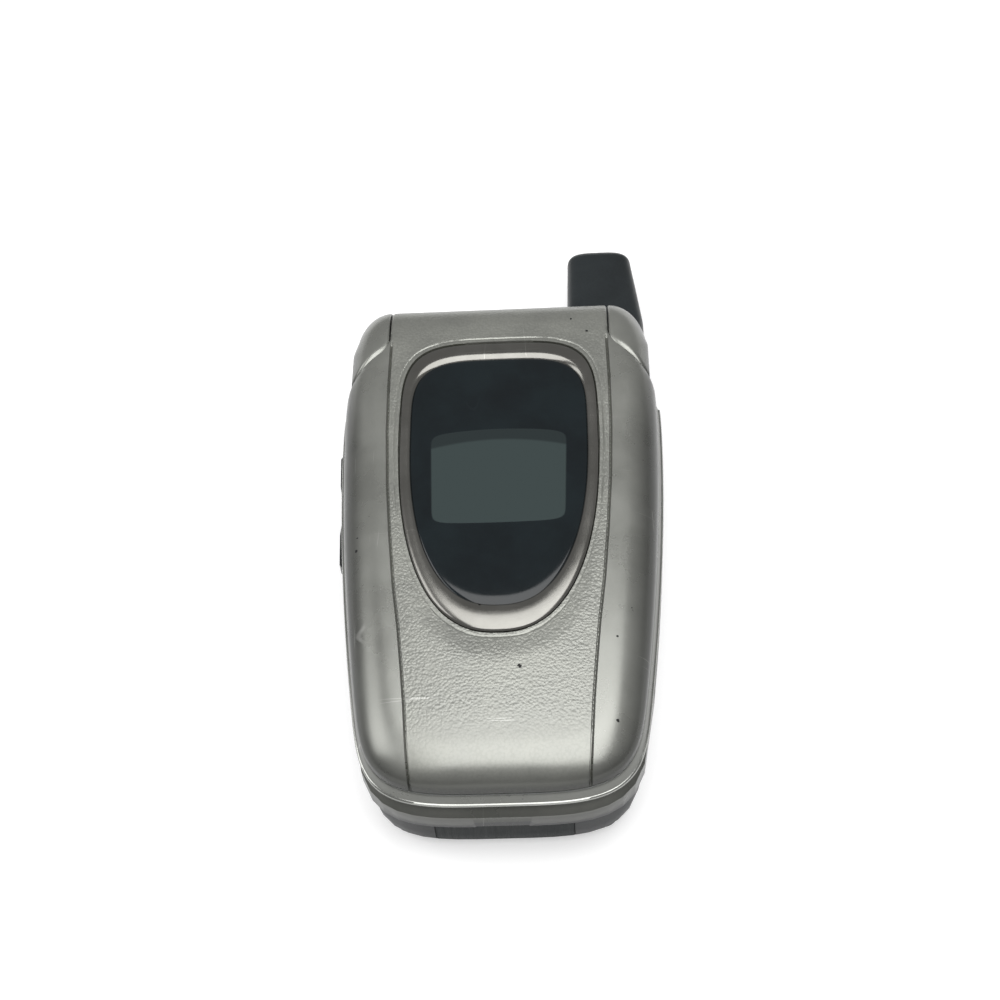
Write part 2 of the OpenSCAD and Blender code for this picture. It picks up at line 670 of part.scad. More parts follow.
module base_rear_case() color(dark_grey) {
  difference() {
    union() {
      difference() {
        stack(base_levels, base_rear);
        stack(base_hollow, base_rear);
      }
      block(-bay_x - case_wall, bay_x + case_wall, bay_y0 - case_wall, bay_y1 + case_wall,
            case_wall - 0.1, bay_z);
      intersection() {
        block(-far, far, latch_y0 - 0.2, latch_y1 + latch_travel + 1.4, 0.9, 2.9);
        block(-latch_x - 1, latch_x + 1, -far, far, 0, far);
      }
      saddle_skin(case_wall - 0.2, parting_z);
      for (q = screw_base) peg(q[0], q[1], screw_head_r + 0.7, 1, parting_z);
      intersection() {
        along_antenna(base_rear - collar_l) linear_extrude(collar_l) polygon(antenna_end);
        block(0, far, 0, far, 0, parting_z);
      }
    }
    block(-bay_x, bay_x, bay_y0, bay_y1, -1, bed_z);
    block(-sim_w / 2 - 0.5, sim_w / 2 + 0.5, sim_y - 0.5, sim_y + sim_l + 0.5, bed_z - 1, bay_z + 1);
    block(-5.2, 5.2, contact_y - 0.2, bay_y0 + 1, 1.6, bay_z + 1);
    block(-latch_x, latch_x, latch_y0 - 0.15, latch_y1 + latch_travel + 0.3, -1, 1.9);
    block(-3.15, 3.15, bay_y1 - 1, latch_y0 + 2 + latch_travel + 0.2, 1.5, 3.3);
    axle(saddle_r, -knuckle_x, knuckle_x);
    for (q = screw_base) peg(q[0], q[1], screw_head_r + slip, -1, 2);
    for (q = screw_base) peg(q[0], q[1], screw_r + eps, 0, far);
    block(-cover_w / 2 - 0.1, cover_w / 2 + 0.1, -far, -front_len + 3, 1.7, parting_z - 0.15);
    translate([0, jack_y, jack_z]) rotate([0, 90, 0]) cylinder(r = jack_body_r + slip, h = far);
    along_antenna(base_rear - thread_l) cylinder(r = thread_r + eps, h = thread_l + 1);
    for (x = [-1:1]) block(speaker_x + x * 2.2 - 0.5, speaker_x + x * 2.2 + 0.5,
      speaker_y - 3, speaker_y + 3, -1, 2);
  }
}

module main_circuit_board() color(board_green) difference() {
  intersection() {
    stack([[board_z, 2, 0], [board_z + board_t, 2, 0]], base_rear);
    block(-far, far, -front_len + 2.2, hinge_y - skin_r + 0.2, 0, far);
  }
  axle(skin_r + 0.15, -far, far);
  for (q = screw_base) peg(q[0], q[1], screw_head_r + 0.9, 0, far);
  block(-far, rocker_x + 3.55, -far, far, 0, far);
}

module shield_cans() color(tin) for (q = [[-16, -3, -14, 9], [5, 15, -24, -8], [-16, -7, -27, -17]])
  difference() {
    block(q[0], q[1], q[2], q[3], can_z, board_z);
    block(q[0] + 0.2, q[1] - 0.2, q[2] + 0.2, q[3] - 0.2, can_z + 0.2, board_z + 1);
  }

module dome_sheet() color(tin) union() {
  difference() {
    plate([[-16, 15.5], [16, 15.5], [15.5, 6.3 - front_len], [-15.5, 6.3 - front_len]], board_z + board_t,
          board_z + board_t + dome_t);
    for (q = screw_base) peg(q[0], q[1], screw_r + 1.2, 0, far);
  }
  for (k = [0:11]) let (q = number_place(k)) peg(q[0], q[1], 1.9, dome_z - 0.01, mat_z);
}

module keypad_mat() color([0.75, 0.75, 0.75]) difference() {
  plate([[-16.4, 16], [16.4, 16], [15.6, 5.9 - front_len], [-15.6, 5.9 - front_len]], mat_z, mat_z + mat_t);
  for (q = screw_base) peg(q[0], q[1], screw_r + 1.2, 0, far);
}

module microphone() color(tin) peg(mic_x, mic_y, 1.5, board_z + board_t, plate_z);

module ringer_speaker() color(tin) union() {
  peg(speaker_x, speaker_y, speaker_r, case_wall, case_wall + 2.2);
  peg(speaker_x, speaker_y, speaker_r - 1.5, case_wall + 2.1, case_wall + 2.9);
}

module battery_pack() color(dark_grey) difference() {
  block(-battery_w / 2, battery_w / 2, battery_y - battery_l, battery_y, 0, battery_t);
  block(-3.2, 3.2, battery_y - 1.2, battery_y + 1, 1.4, 3.4);
  for (x = [-3:2:3]) block(x - 0.6, x + 0.6, battery_y - battery_l - 1, battery_y - battery_l + 0.2,
    2.4, 4.6);
}

module battery_connector() color([0.15, 0.15, 0.15]) union() {
  block(-5, 5, contact_y, bay_y0, 1.8, board_z);
  for (x = [-3:2:3]) block(x - 0.4, x + 0.4, bay_y0 - 0.5, battery_y - battery_l + 0.15, 3, 4);
}

module sim_holder() color(tin) difference() {
  block(-sim_w / 2 - 0.4, sim_w / 2 + 0.4, sim_y - 0.4, sim_y + sim_l + 0.4, bed_z, bay_z);
  block(-sim_w / 2, sim_w / 2, sim_y, sim_y + sim_l + 1, bed_z + 0.1, bay_z - 0.1);
  block(-4.5, 4.5, sim_y + 6, sim_y + sim_l - 4, bed_z - 1, bed_z + 0.5);
}

module sim_card() color([0.9, 0.9, 0.88]) plate([[-7.9, sim_y + 0.05], [5, sim_y + 0.05],
  [7.9, sim_y + 3], [7.9, sim_y + sim_l], [-7.9, sim_y + sim_l]], bed_z + 0.12, bay_z - 0.12);

module io_connector() color(tin) difference() {
  block(-8, 8, io_y0, io_y0 + 4, 3.2, board_z);
  block(-7.3, 7.3, io_y0 - 1, io_y0 + 3, 3.9, board_z - 0.7);
}

module headset_jack() color([0.15, 0.15, 0.15]) translate([jack_out, jack_y, jack_z])
  rotate([0, -90, 0]) difference() {
    cylinder(r = jack_body_r, h = jack_l + 0.8);
    translate([0, 0, -1]) cylinder(r = jack_r, h = jack_l + 1);
  }

module coin_cell() color(tin) peg(-12, 16, 2.4, bay_z + 0.05, board_z);

module base_screws() color(tin) for (q = screw_base) union() {
  peg(q[0], q[1], screw_head_r, 1.1, 2);
  peg(q[0], q[1], screw_r, 1.9, plate_z - 0.7);
}

rocker_x = -side_w(rocker_y);
module side_switches() color(tin) for (s = [-1, 1])
  block(rocker_x + 3.2, rocker_x + 4.6, rocker_y + s * 7 - 1.4, rocker_y + s * 7 + 1.4,
        board_z + board_t, board_z + board_t + 1.2);

// ---------- antenna ----------

// Stub outline from above: straight inner side, slanted outer side
antenna_plan = [[antenna_x, base_rear], [antenna_x + 0.5, antenna_y1 - 3],
                [antenna_x + 1.1, antenna_y1 - 0.8], [antenna_x + 2.4, antenna_y1],
                [antenna_x + 9.4, antenna_y1], [antenna_x + 10.6, antenna_y1 - 0.8],
                [antenna_x + 11.2, antenna_y1 - 3], [antenna_x + antenna_w, base_rear + 8],
                [antenna_x + antenna_w, base_rear]];
antenna_side = [[base_rear, -antenna_t / 2], [base_rear, antenna_t / 2],
                [antenna_y1 - 2, antenna_t / 2 - 0.5], [antenna_y1, antenna_t / 2 - 1.7],
                [antenna_y1, -antenna_t / 2 + 1.5], [antenna_y1 - 2, -antenna_t / 2 + 0.4]];

// Rounded edge profile of the stub seen from its tip
antenna_end = [for (q = pebble(antenna_w, antenna_t, 3.4, 28)) q];

module antenna_cover() color(blue_black) difference() {
  intersection() {
    plate(antenna_plan, 0, 2 * antenna_z);
    translate([0, 0, antenna_z]) rotate([90, 0, 90]) linear_extrude(far) polygon(antenna_side);
    along_antenna(base_rear) linear_extrude(antenna_l) polygon(antenna_end);
  }
  along_antenna(base_rear - 1) cylinder(r = core_r + slip, h = core_l + 1.1);
}

module along_antenna(y) translate([antenna_mid, y, antenna_z]) rotate([-90, 0, 0]) children();

module antenna_core() color(gold) union() {
  along_antenna(base_rear) cylinder(r = core_r, h = core_l);
  along_antenna(base_rear - thread_l + 0.4) cylinder(r = pin_r, h = thread_l);
}

module antenna_bush() color(gold) difference() {
  along_antenna(base_rear - thread_l) cylinder(r = thread_r, h = thread_l);
  along_antenna(base_rear - thread_l - 1) cylinder(r = pin_r + eps, h = thread_l + 2);
}

module base_flex() color(gold) difference() {
  union() {
    axle(flex_r, knuckle_x + knuckle_wall + 0.3, tail_x + tail_w);
    block(tail_x, tail_x + tail_w, hinge_y - flex_t, hinge_y, board_z + board_t,
          hinge_z - flex_r + 0.2);
    block(tail_x, tail_x + tail_w, tail_y, hinge_y, board_z + board_t,
          board_z + board_t + flex_t);
  }
  axle(flex_r - flex_t, knuckle_x, knuckle_end + 1);
}

// ---------- moving pieces of the base ----------

module battery_latch() color(dark_grey) union() {
  block(-latch_w / 2, latch_w / 2, latch_y0, latch_y1, 0.1, 1.8);
  block(-3, 3, bay_y1 - 0.9, latch_y0 + 2, 1.7, 3);
}

module connector_cover() color(blue_black) intersection() {
  stack(base_levels, base_rear);
  block(-cover_w / 2, cover_w / 2, -far, -front_len + 1.3, 1.8, parting_z - 0.25);
}

rocker_tilt = atan((side_w(rocker_y + 10) - side_w(rocker_y - 10)) / 20);
module volume_rocker() color([0.1, 0.1, 0.11])
  translate([rocker_x, rocker_y, slot_z + 0.1]) rotate(rocker_tilt) union() {
    linear_extrude(rocker_h) polygon([[1, -rocker_l / 2], [-0.5, -rocker_l / 2 + 0.2],
      [-rocker_out, -rocker_l / 2 + 1.6], [-rocker_out, -rocker_l / 2 + 7],
      [-rocker_out + 0.35, -1.5], [-rocker_out + 0.35, 1.5], [-rocker_out, rocker_l / 2 - 7],
      [-rocker_out, rocker_l / 2 - 1.6], [-0.5, rocker_l / 2 - 0.2], [1, rocker_l / 2]]);
    translate([1.95, -rocker_l / 2 - 0.4, 0]) cube([0.7, rocker_l + 0.8, rocker_h]);
    translate([0.9, -rocker_l / 2 + 0.1, 0]) cube([1.2, rocker_l - 0.2, rocker_h]);
  }

// Place of number key k, counted along the rows from the top left
function number_place(k) = [(k % 3 - 1) * col_pitch, row_y - floor(k / 3) * row_pitch, 0];

// Place, width and depth of the function keys
function_keys = [
  [[-12.6, 11.6, 0], 6.8, 4.6],
  [[12.6, 11.6, 0], 6.8, 4.6],
  [[-11.6, -3.2, 0], 8.4, 5],
  [[11.6, -3.2, 0], 8.4, 5],
  [[0, -4.6, 0], 8, 4]];

module key_solid(w, d) {
  plate(pebble(w, d), flange_top - 0.1, key_top - 0.3);
  plate(pebble(w - 0.5, d - 0.5), key_top - 0.31, key_top);
  plate(pebble(w + 0.9, d + 0.7), flange_z, flange_top);
}

module number_key(k) color(key_grey) translate(number_place(k)) union() key_solid(key_w, key_d);
module function_key(k) color(key_grey) let (f = function_keys[k])
  translate(f[0]) union() key_solid(f[1], f[2]);

module nav_key() color(key_grey) difference() {
  union() {
    peg(0, nav_y, nav_r, flange_z, key_top - 0.3);
    peg(0, nav_y, nav_r - 0.3, key_top - 0.31, key_top);
  }
  peg(0, nav_y, ok_r + key_gap, flange_z - 1, base_h);
}

module ok_key() color(key_grey) union() {
  peg(0, nav_y, ok_r, flange_z, key_top - 0.3);
  peg(0, nav_y, ok_r - 0.3, key_top - 0.31, key_top);
}

// ---------- the nodes ----------

lid_outer_cover();
window_bezel();
window_lens();
outer_display();
lid_circuit_board();
main_display();
display_lens();
lid_inner_cover();
earpiece_speaker();
vibration_motor();
lid_screws();
lid_bumpers();
lid_magnet();
hinge_cartridge();
hinge_flex();
base_front_case();
base_rear_case();
main_circuit_board();
shield_cans();
dome_sheet();
keypad_mat();
microphone();
ringer_speaker();
battery_pack();
battery_connector();
sim_holder();
sim_card();
io_connector();
headset_jack();
coin_cell();
base_screws();
side_switches();
antenna_cover();
antenna_core();
antenna_bush();
hinge_shaft();
hinge_bush();
base_flex();
battery_latch();
connector_cover();
volume_rocker();
nav_key();
ok_key();
function_key(0);  // soft_key_left
function_key(1);  // soft_key_right
function_key(2);  // send_key
function_key(3);  // end_key
function_key(4);  // clear_key
for (k = [0:11]) number_key(k);
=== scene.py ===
"""Looks of a closed silver flip phone with a stub antenna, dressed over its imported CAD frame."""

import json
import logging
import math
from dataclasses import dataclass
from enum import Enum
from typing import Callable, Optional, Sequence, Union

import bmesh
import bpy
import numpy as np
from mathutils import Matrix, Vector
from mathutils.geometry import delaunay_2d_cdt


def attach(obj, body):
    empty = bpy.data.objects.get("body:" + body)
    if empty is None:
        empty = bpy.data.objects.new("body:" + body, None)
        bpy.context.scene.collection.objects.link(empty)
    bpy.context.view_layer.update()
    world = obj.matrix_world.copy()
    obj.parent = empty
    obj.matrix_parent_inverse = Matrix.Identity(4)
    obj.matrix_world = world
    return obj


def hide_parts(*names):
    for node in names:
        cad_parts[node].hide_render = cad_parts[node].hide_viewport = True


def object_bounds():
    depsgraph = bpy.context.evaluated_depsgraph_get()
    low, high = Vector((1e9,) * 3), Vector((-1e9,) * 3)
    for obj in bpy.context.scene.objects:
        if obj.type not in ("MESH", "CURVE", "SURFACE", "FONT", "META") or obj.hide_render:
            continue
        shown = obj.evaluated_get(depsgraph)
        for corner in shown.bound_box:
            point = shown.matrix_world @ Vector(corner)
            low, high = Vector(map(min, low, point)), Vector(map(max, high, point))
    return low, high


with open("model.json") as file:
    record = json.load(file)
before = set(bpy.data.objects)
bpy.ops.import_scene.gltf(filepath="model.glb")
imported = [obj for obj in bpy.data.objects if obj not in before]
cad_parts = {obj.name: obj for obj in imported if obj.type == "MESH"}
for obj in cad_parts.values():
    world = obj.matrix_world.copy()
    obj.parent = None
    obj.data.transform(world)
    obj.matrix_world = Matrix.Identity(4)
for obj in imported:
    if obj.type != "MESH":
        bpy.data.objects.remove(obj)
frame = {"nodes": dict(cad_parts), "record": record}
CAD_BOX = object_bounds()

MM = 0.001
LOG = logging.getLogger("flip_phone")
Point = tuple[float, float, float]
Colour = tuple[float, float, float]
Faces = list[list[int]]
Socket = bpy.types.NodeSocket
Feed = Union[float, tuple, Socket]


class Body(str, Enum):
    """The two large moving bodies that pieces ride on."""

    BASE = "base"
    LID = "lid"


class Texture(Enum):
    """How a finish is broken up close to."""

    SATIN = "satin"
    PEBBLED = "pebbled"
    RIBBED = "ribbed"


def tone(code: str) -> Colour:
    """Turns a screen colour into the linear one that shaders use.

    Args:
        code: Six hexadecimal digits.

    Returns:
        Red, green and blue, linear.
    """
    parts = [int(code[k:k + 2], 16) / 255 for k in (0, 2, 4)]
    lin = [c / 12.92 if c <= 0.04045 else ((c + 0.055) / 1.055) ** 2.4 for c in parts]
    return lin[0], lin[1], lin[2]


# ---------------------------------------------------------------- shader groups


class NodeMaker:
    """Adds nodes to one node tree and links them."""

    tree: bpy.types.NodeTree

    def add(self, kind: str, **values: Feed) -> bpy.types.Node:
        """Adds a node and feeds its inputs.

        Args:
            kind: The node's type, without its first word ShaderNode.
            values: What goes into inputs, by the input's name.

        Returns:
            The node.
        """
        node = self.tree.nodes.new(f"ShaderNode{kind}")
        for label, value in values.items():
            self.feed(node.inputs[label], value)
        return node

    def feed(self, sock: Socket, value: Feed) -> None:
        """Links a socket to an input, or gives the input a constant.

        Args:
            sock: The input.
            value: A socket, a number or a vector.
        """
        if isinstance(value, bpy.types.NodeSocket):
            self.tree.links.new(value, sock)
        else:
            sock.default_value = value

    def math(self, kind: str, a: Feed, b: Feed = 0.0, c: Feed = 0.0) -> Socket:
        """Adds a Math node.

        Args:
            kind: The operation.
            a: First number or socket.
            b: Second number or socket.
            c: Third number or socket.

        Returns:
            The node's output.
        """
        node = self.add("Math")
        node.operation = kind
        for sock, value in zip(node.inputs, (a, b, c)):
            self.feed(sock, value)
        return node.outputs[0]

    def plus(self, a: Feed, b: Feed) -> Socket:
        """Gives the sum of two values."""
        return self.math("ADD", a, b)

    def minus(self, a: Feed, b: Feed) -> Socket:
        """Gives the first value less the second."""
        return self.math("SUBTRACT", a, b)

    def times(self, a: Feed, b: Feed) -> Socket:
        """Gives the product of two values."""
        return self.math("MULTIPLY", a, b)

    def inverse(self, mask: Feed) -> Socket:
        """Gives one less the mask."""
        return self.minus(1.0, mask)

    def step(self, value: Socket, low: float, high: float) -> Socket:
        """Adds a soft step.

        Args:
            value: What is tested.
            low: Gives 0 below this.
            high: Gives 1 above this.

        Returns:
            The step, from 0 to 1.
        """
        node = self.add("MapRange", **{"From Min": low, "From Max": high, "Value": value})
        node.interpolation_type = "SMOOTHSTEP"
        return node.outputs["Result"]


class GroupMaker(NodeMaker):
    """Builds one shader group: its sockets, its nodes and their links."""

    def __init__(self, name: str, inputs: dict[str, float], *outputs: str) -> None:
        """Starts the group.

        Args:
            name: Name of the group.
            inputs: Each input with its usual value.
            outputs: Names of the outputs.
        """
        self.tree = bpy.data.node_groups.new(name, "ShaderNodeTree")
        for label, value in inputs.items():
            self.socket(label, "INPUT").default_value = value
        for label in outputs:
            self.socket(label, "OUTPUT")
        self.source = self.tree.nodes.new("NodeGroupInput")
        self.target = self.tree.nodes.new("NodeGroupOutput")

    def socket(self, label: str, way: str) -> bpy.types.NodeTreeInterfaceSocket:
        """Adds one number to the group's inputs or outputs."""
        return self.tree.interface.new_socket(label, in_out=way, socket_type="NodeSocketFloat")

    def coords(self, size: Feed, stretch: Point = (1, 1, 1)) -> Socket:
        """Gives the object's own coordinates, in units of size millimetres.

        Args:
            size: The pattern's size in millimetres.
            stretch: Extra scale along each axis.

        Returns:
            The vector.
        """
        place = self.add("TexCoord")
        factor = self.math("DIVIDE", 1 / MM, size)
        scaled, pulled = self.add("VectorMath"), self.add("VectorMath")
        scaled.operation, pulled.operation = "SCALE", "MULTIPLY"
        self.feed(scaled.inputs[0], place.outputs["Object"])
        self.feed(scaled.inputs["Scale"], factor)
        self.feed(pulled.inputs[0], scaled.outputs[0])
        self.feed(pulled.inputs[1], stretch)
        return pulled.outputs[0]

    def noise(self, vector: Socket, detail: float = 3.0, rough: float = 0.55) -> Socket:
        """Adds a noise texture.

        Args:
            vector: Where it is read.
            detail: Number of finer layers.
            rough: Weight of the finer layers.

        Returns:
            The noise's value.
        """
        node = self.add("TexNoise", Scale=1.0, Detail=detail, Roughness=rough, Vector=vector)
        return node.outputs["Fac"]

    def cells(self, vector: Socket) -> bpy.types.Node:
        """Adds a cell texture over the vector and gives its node."""
        return self.add("TexVoronoi", Scale=1.0, Vector=vector)

    def given(self, label: str) -> Socket:
        """Gives one of the group's inputs, for the nodes inside."""
        return self.source.outputs[label]

    def finish(self, **results: Socket) -> bpy.types.NodeTree:
        """Joins the group's outputs.

        Args:
            results: What each output gives.

        Returns:
            The finished group.
        """
        for label, sock in results.items():
            self.feed(self.target.inputs[label], sock)
        return self.tree


def grain_group() -> bpy.types.NodeTree:
    """Cloudy tint, fine fleck and fine height that every finish uses.

    Returns:
        The shader group.
    """
    g = GroupMaker("SurfaceGrain", {"Cloud": 9.0, "Fleck": 0.25}, "Tint", "Fleck", "Height")
    cloud = g.noise(g.coords(g.given("Cloud")), 5.0, 0.6)
    fine = g.noise(g.coords(g.given("Fleck")), 2.0, 0.7)
    return g.finish(Tint=cloud, Fleck=fine, Height=fine)


def scratch_group() -> bpy.types.NodeTree:
    """Sparse hairline scratches in two directions.

    Returns:
        The shader group.
    """
    g = GroupMaker("Hairlines", {"Size": 6.0, "Spread": 0.5}, "Mask")
    total: Feed = 0.0
    for stretch, middle in (((0.06, 1.9, 0.06), 0.5), ((1.7, 0.08, 0.08), 0.45)):
        lines = g.noise(g.coords(g.given("Size"), stretch), 0.0, 0.4)
        away = g.math("ABSOLUTE", g.minus(lines, middle))
        thin = g.inverse(g.step(away, 0.0006, 0.003))
        patch = g.noise(g.coords(g.given("Size"), (0.9, 1.1, 1.0)), 1.0)
        held = g.times(thin, g.step(patch, 0.56, 0.66))
        total = g.math("MAXIMUM", total, held)
    return g.finish(Mask=g.times(total, g.given("Spread")))


def chip_group() -> bpy.types.NodeTree:
    """Small dark chips and specks of dirt, scattered and uneven.

    Returns:
        The shader group.
    """
    g = GroupMaker("ChipsAndDirt", {"Size": 2.4, "Amount": 0.1}, "Mask")
    cell = g.cells(g.coords(g.given("Size")))
    chance = g.add("SeparateColor", Color=cell.outputs["Color"])
    wobble = g.times(g.noise(g.coords(0.35), 2.0), 0.16)
    near = g.math("LESS_THAN", g.plus(cell.outputs["Distance"], wobble),
                  g.times(chance.outputs[1], 0.19))
    chosen = g.math("LESS_THAN", chance.outputs[0], g.given("Amount"))
    return g.finish(Mask=g.times(near, chosen))


def pebble_group() -> bpy.types.NodeTree:
    """Leather-like pebbled skin: rounded cells with narrow valleys.

    Returns:
        The shader group.
    """
    g = GroupMaker("PebbledSkin", {"Size": 0.5}, "Height", "Valley")
    away = g.cells(g.coords(g.given("Size"))).outputs["Distance"]
    fine = g.noise(g.coords(0.9), 3.0)
    height = g.plus(g.times(g.minus(0.8, away), 0.7), g.times(fine, 0.6))
    return g.finish(Height=height, Valley=g.step(away, 0.4, 0.75))


def rib_group() -> bpy.types.NodeTree:
    """Upright moulded ribs across the part's width.

    Returns:
        The shader group.
    """
    g = GroupMaker("MouldedRibs", {"Pitch": 0.9}, "Height")
    split = g.add("SeparateXYZ", Vector=g.coords(g.given("Pitch")))
    wave = g.math("PINGPONG", split.outputs[0], 0.5)
    return g.finish(Height=g.step(wave, 0.1, 0.4))


GROUP_MAKERS: dict[str, Callable[[], bpy.types.NodeTree]] = {
    "SurfaceGrain": grain_group,
    "Hairlines": scratch_group,
    "ChipsAndDirt": chip_group,
    "PebbledSkin": pebble_group,
    "MouldedRibs": rib_group,
}


# ---------------------------------------------------------------- finishes


class Dresser(NodeMaker):
    """Puts nodes into one material."""

    def __init__(self, name: str) -> None:
        """Starts a material with only its Principled shader.

        Args:
            name: Name of the material.
        """
        self.mat = bpy.data.materials.new(name)
        self.mat.use_nodes = True
        self.tree = self.mat.node_tree
        self.shader = self.tree.nodes["Principled BSDF"]

    def group(self, name: str, **values: float) -> bpy.types.Node:
        """Places a shared shader group.

        Args:
            name: Name of the group.
            values: Values of its inputs.

        Returns:
            The group's node.
        """
        tree = bpy.data.node_groups.get(name) or GROUP_MAKERS[name]()
        node = self.add("Group")
        node.node_tree = tree
        for label, value in values.items():
            self.feed(node.inputs[label], value)
        return node

    def mix(self, factor: Feed, a: Feed, b: Feed) -> Socket:
        """Mixes two colours.

        Args:
            factor: Share of the second colour.
            a: First colour.
            b: Second colour.

        Returns:
            The mixed colour.
        """
        node = self.add("Mix")
        node.data_type = "RGBA"
        colours = [(*v, 1.0) if isinstance(v, tuple) else v for v in (a, b)]
        for sock, value in zip((node.inputs[0], *node.inputs[6:8]), (factor, *colours)):
            self.feed(sock, value)
        return node.outputs[2]

    def axes(self) -> tuple[Socket, Socket, Socket]:
        """Gives the object's x, y and z in millimetres.

        Returns:
            The three coordinates.
        """
        split = self.add("SeparateXYZ", Vector=self.add("TexCoord").outputs["Object"])
        x, y, z = (self.times(split.outputs[k], 1 / MM) for k in range(3))
        return x, y, z

    def join(self, sock: Socket, label: str) -> None:
        """Links a socket to one of the shader's inputs."""
        self.feed(self.shader.inputs[label], sock)

    def bump(self, height: Socket) -> None:
        """Feeds the shader's normal from a height in millimetres."""
        self.join(self.add("Bump", Distance=MM, Strength=1.0, Height=height).outputs[0], "Normal")


@dataclass(frozen=True)
class WearAndShade:
    """Sizes and depths, in millimetres, of the marks that all finishes share, and the share of
    painted shade in the pebbled skin's valleys.
    """

    hairline_size: float = 7.0
    hairline_deep: float = 0.006
    chip_size: float = 2.6
    chip_deep: float = 0.03
    chip_rougher: float = 0.2
    pebble_size: float = 0.4
    pebble_high: float = 0.05
    pebble_fade: tuple[float, float] = (-40.0, -31.0)
    valley_shade: float = 0.14
    rib_pitch: float = 1.0
    rib_high: float = 0.12


@dataclass(frozen=True)
class Shade:
    """Darker zones of the silver paint, where the photograph shows the dark room mirrored."""

    room: str = "2a2b29"
    edge_drop: tuple[float, float] = (0.6, 3.7)
    foot: str = "1a1c1d"
    foot_z: float = 9.1
    foot_soft: float = 0.04
    notch_half: tuple[float, float] = (3.6, 4.4)
    notch_rise: float = 0.75
    wall: float = 0.6
    wall_rise: tuple[float, float] = (1.2, 2.8)


WEAR_AND_SHADE = WearAndShade()
SHADE = Shade()


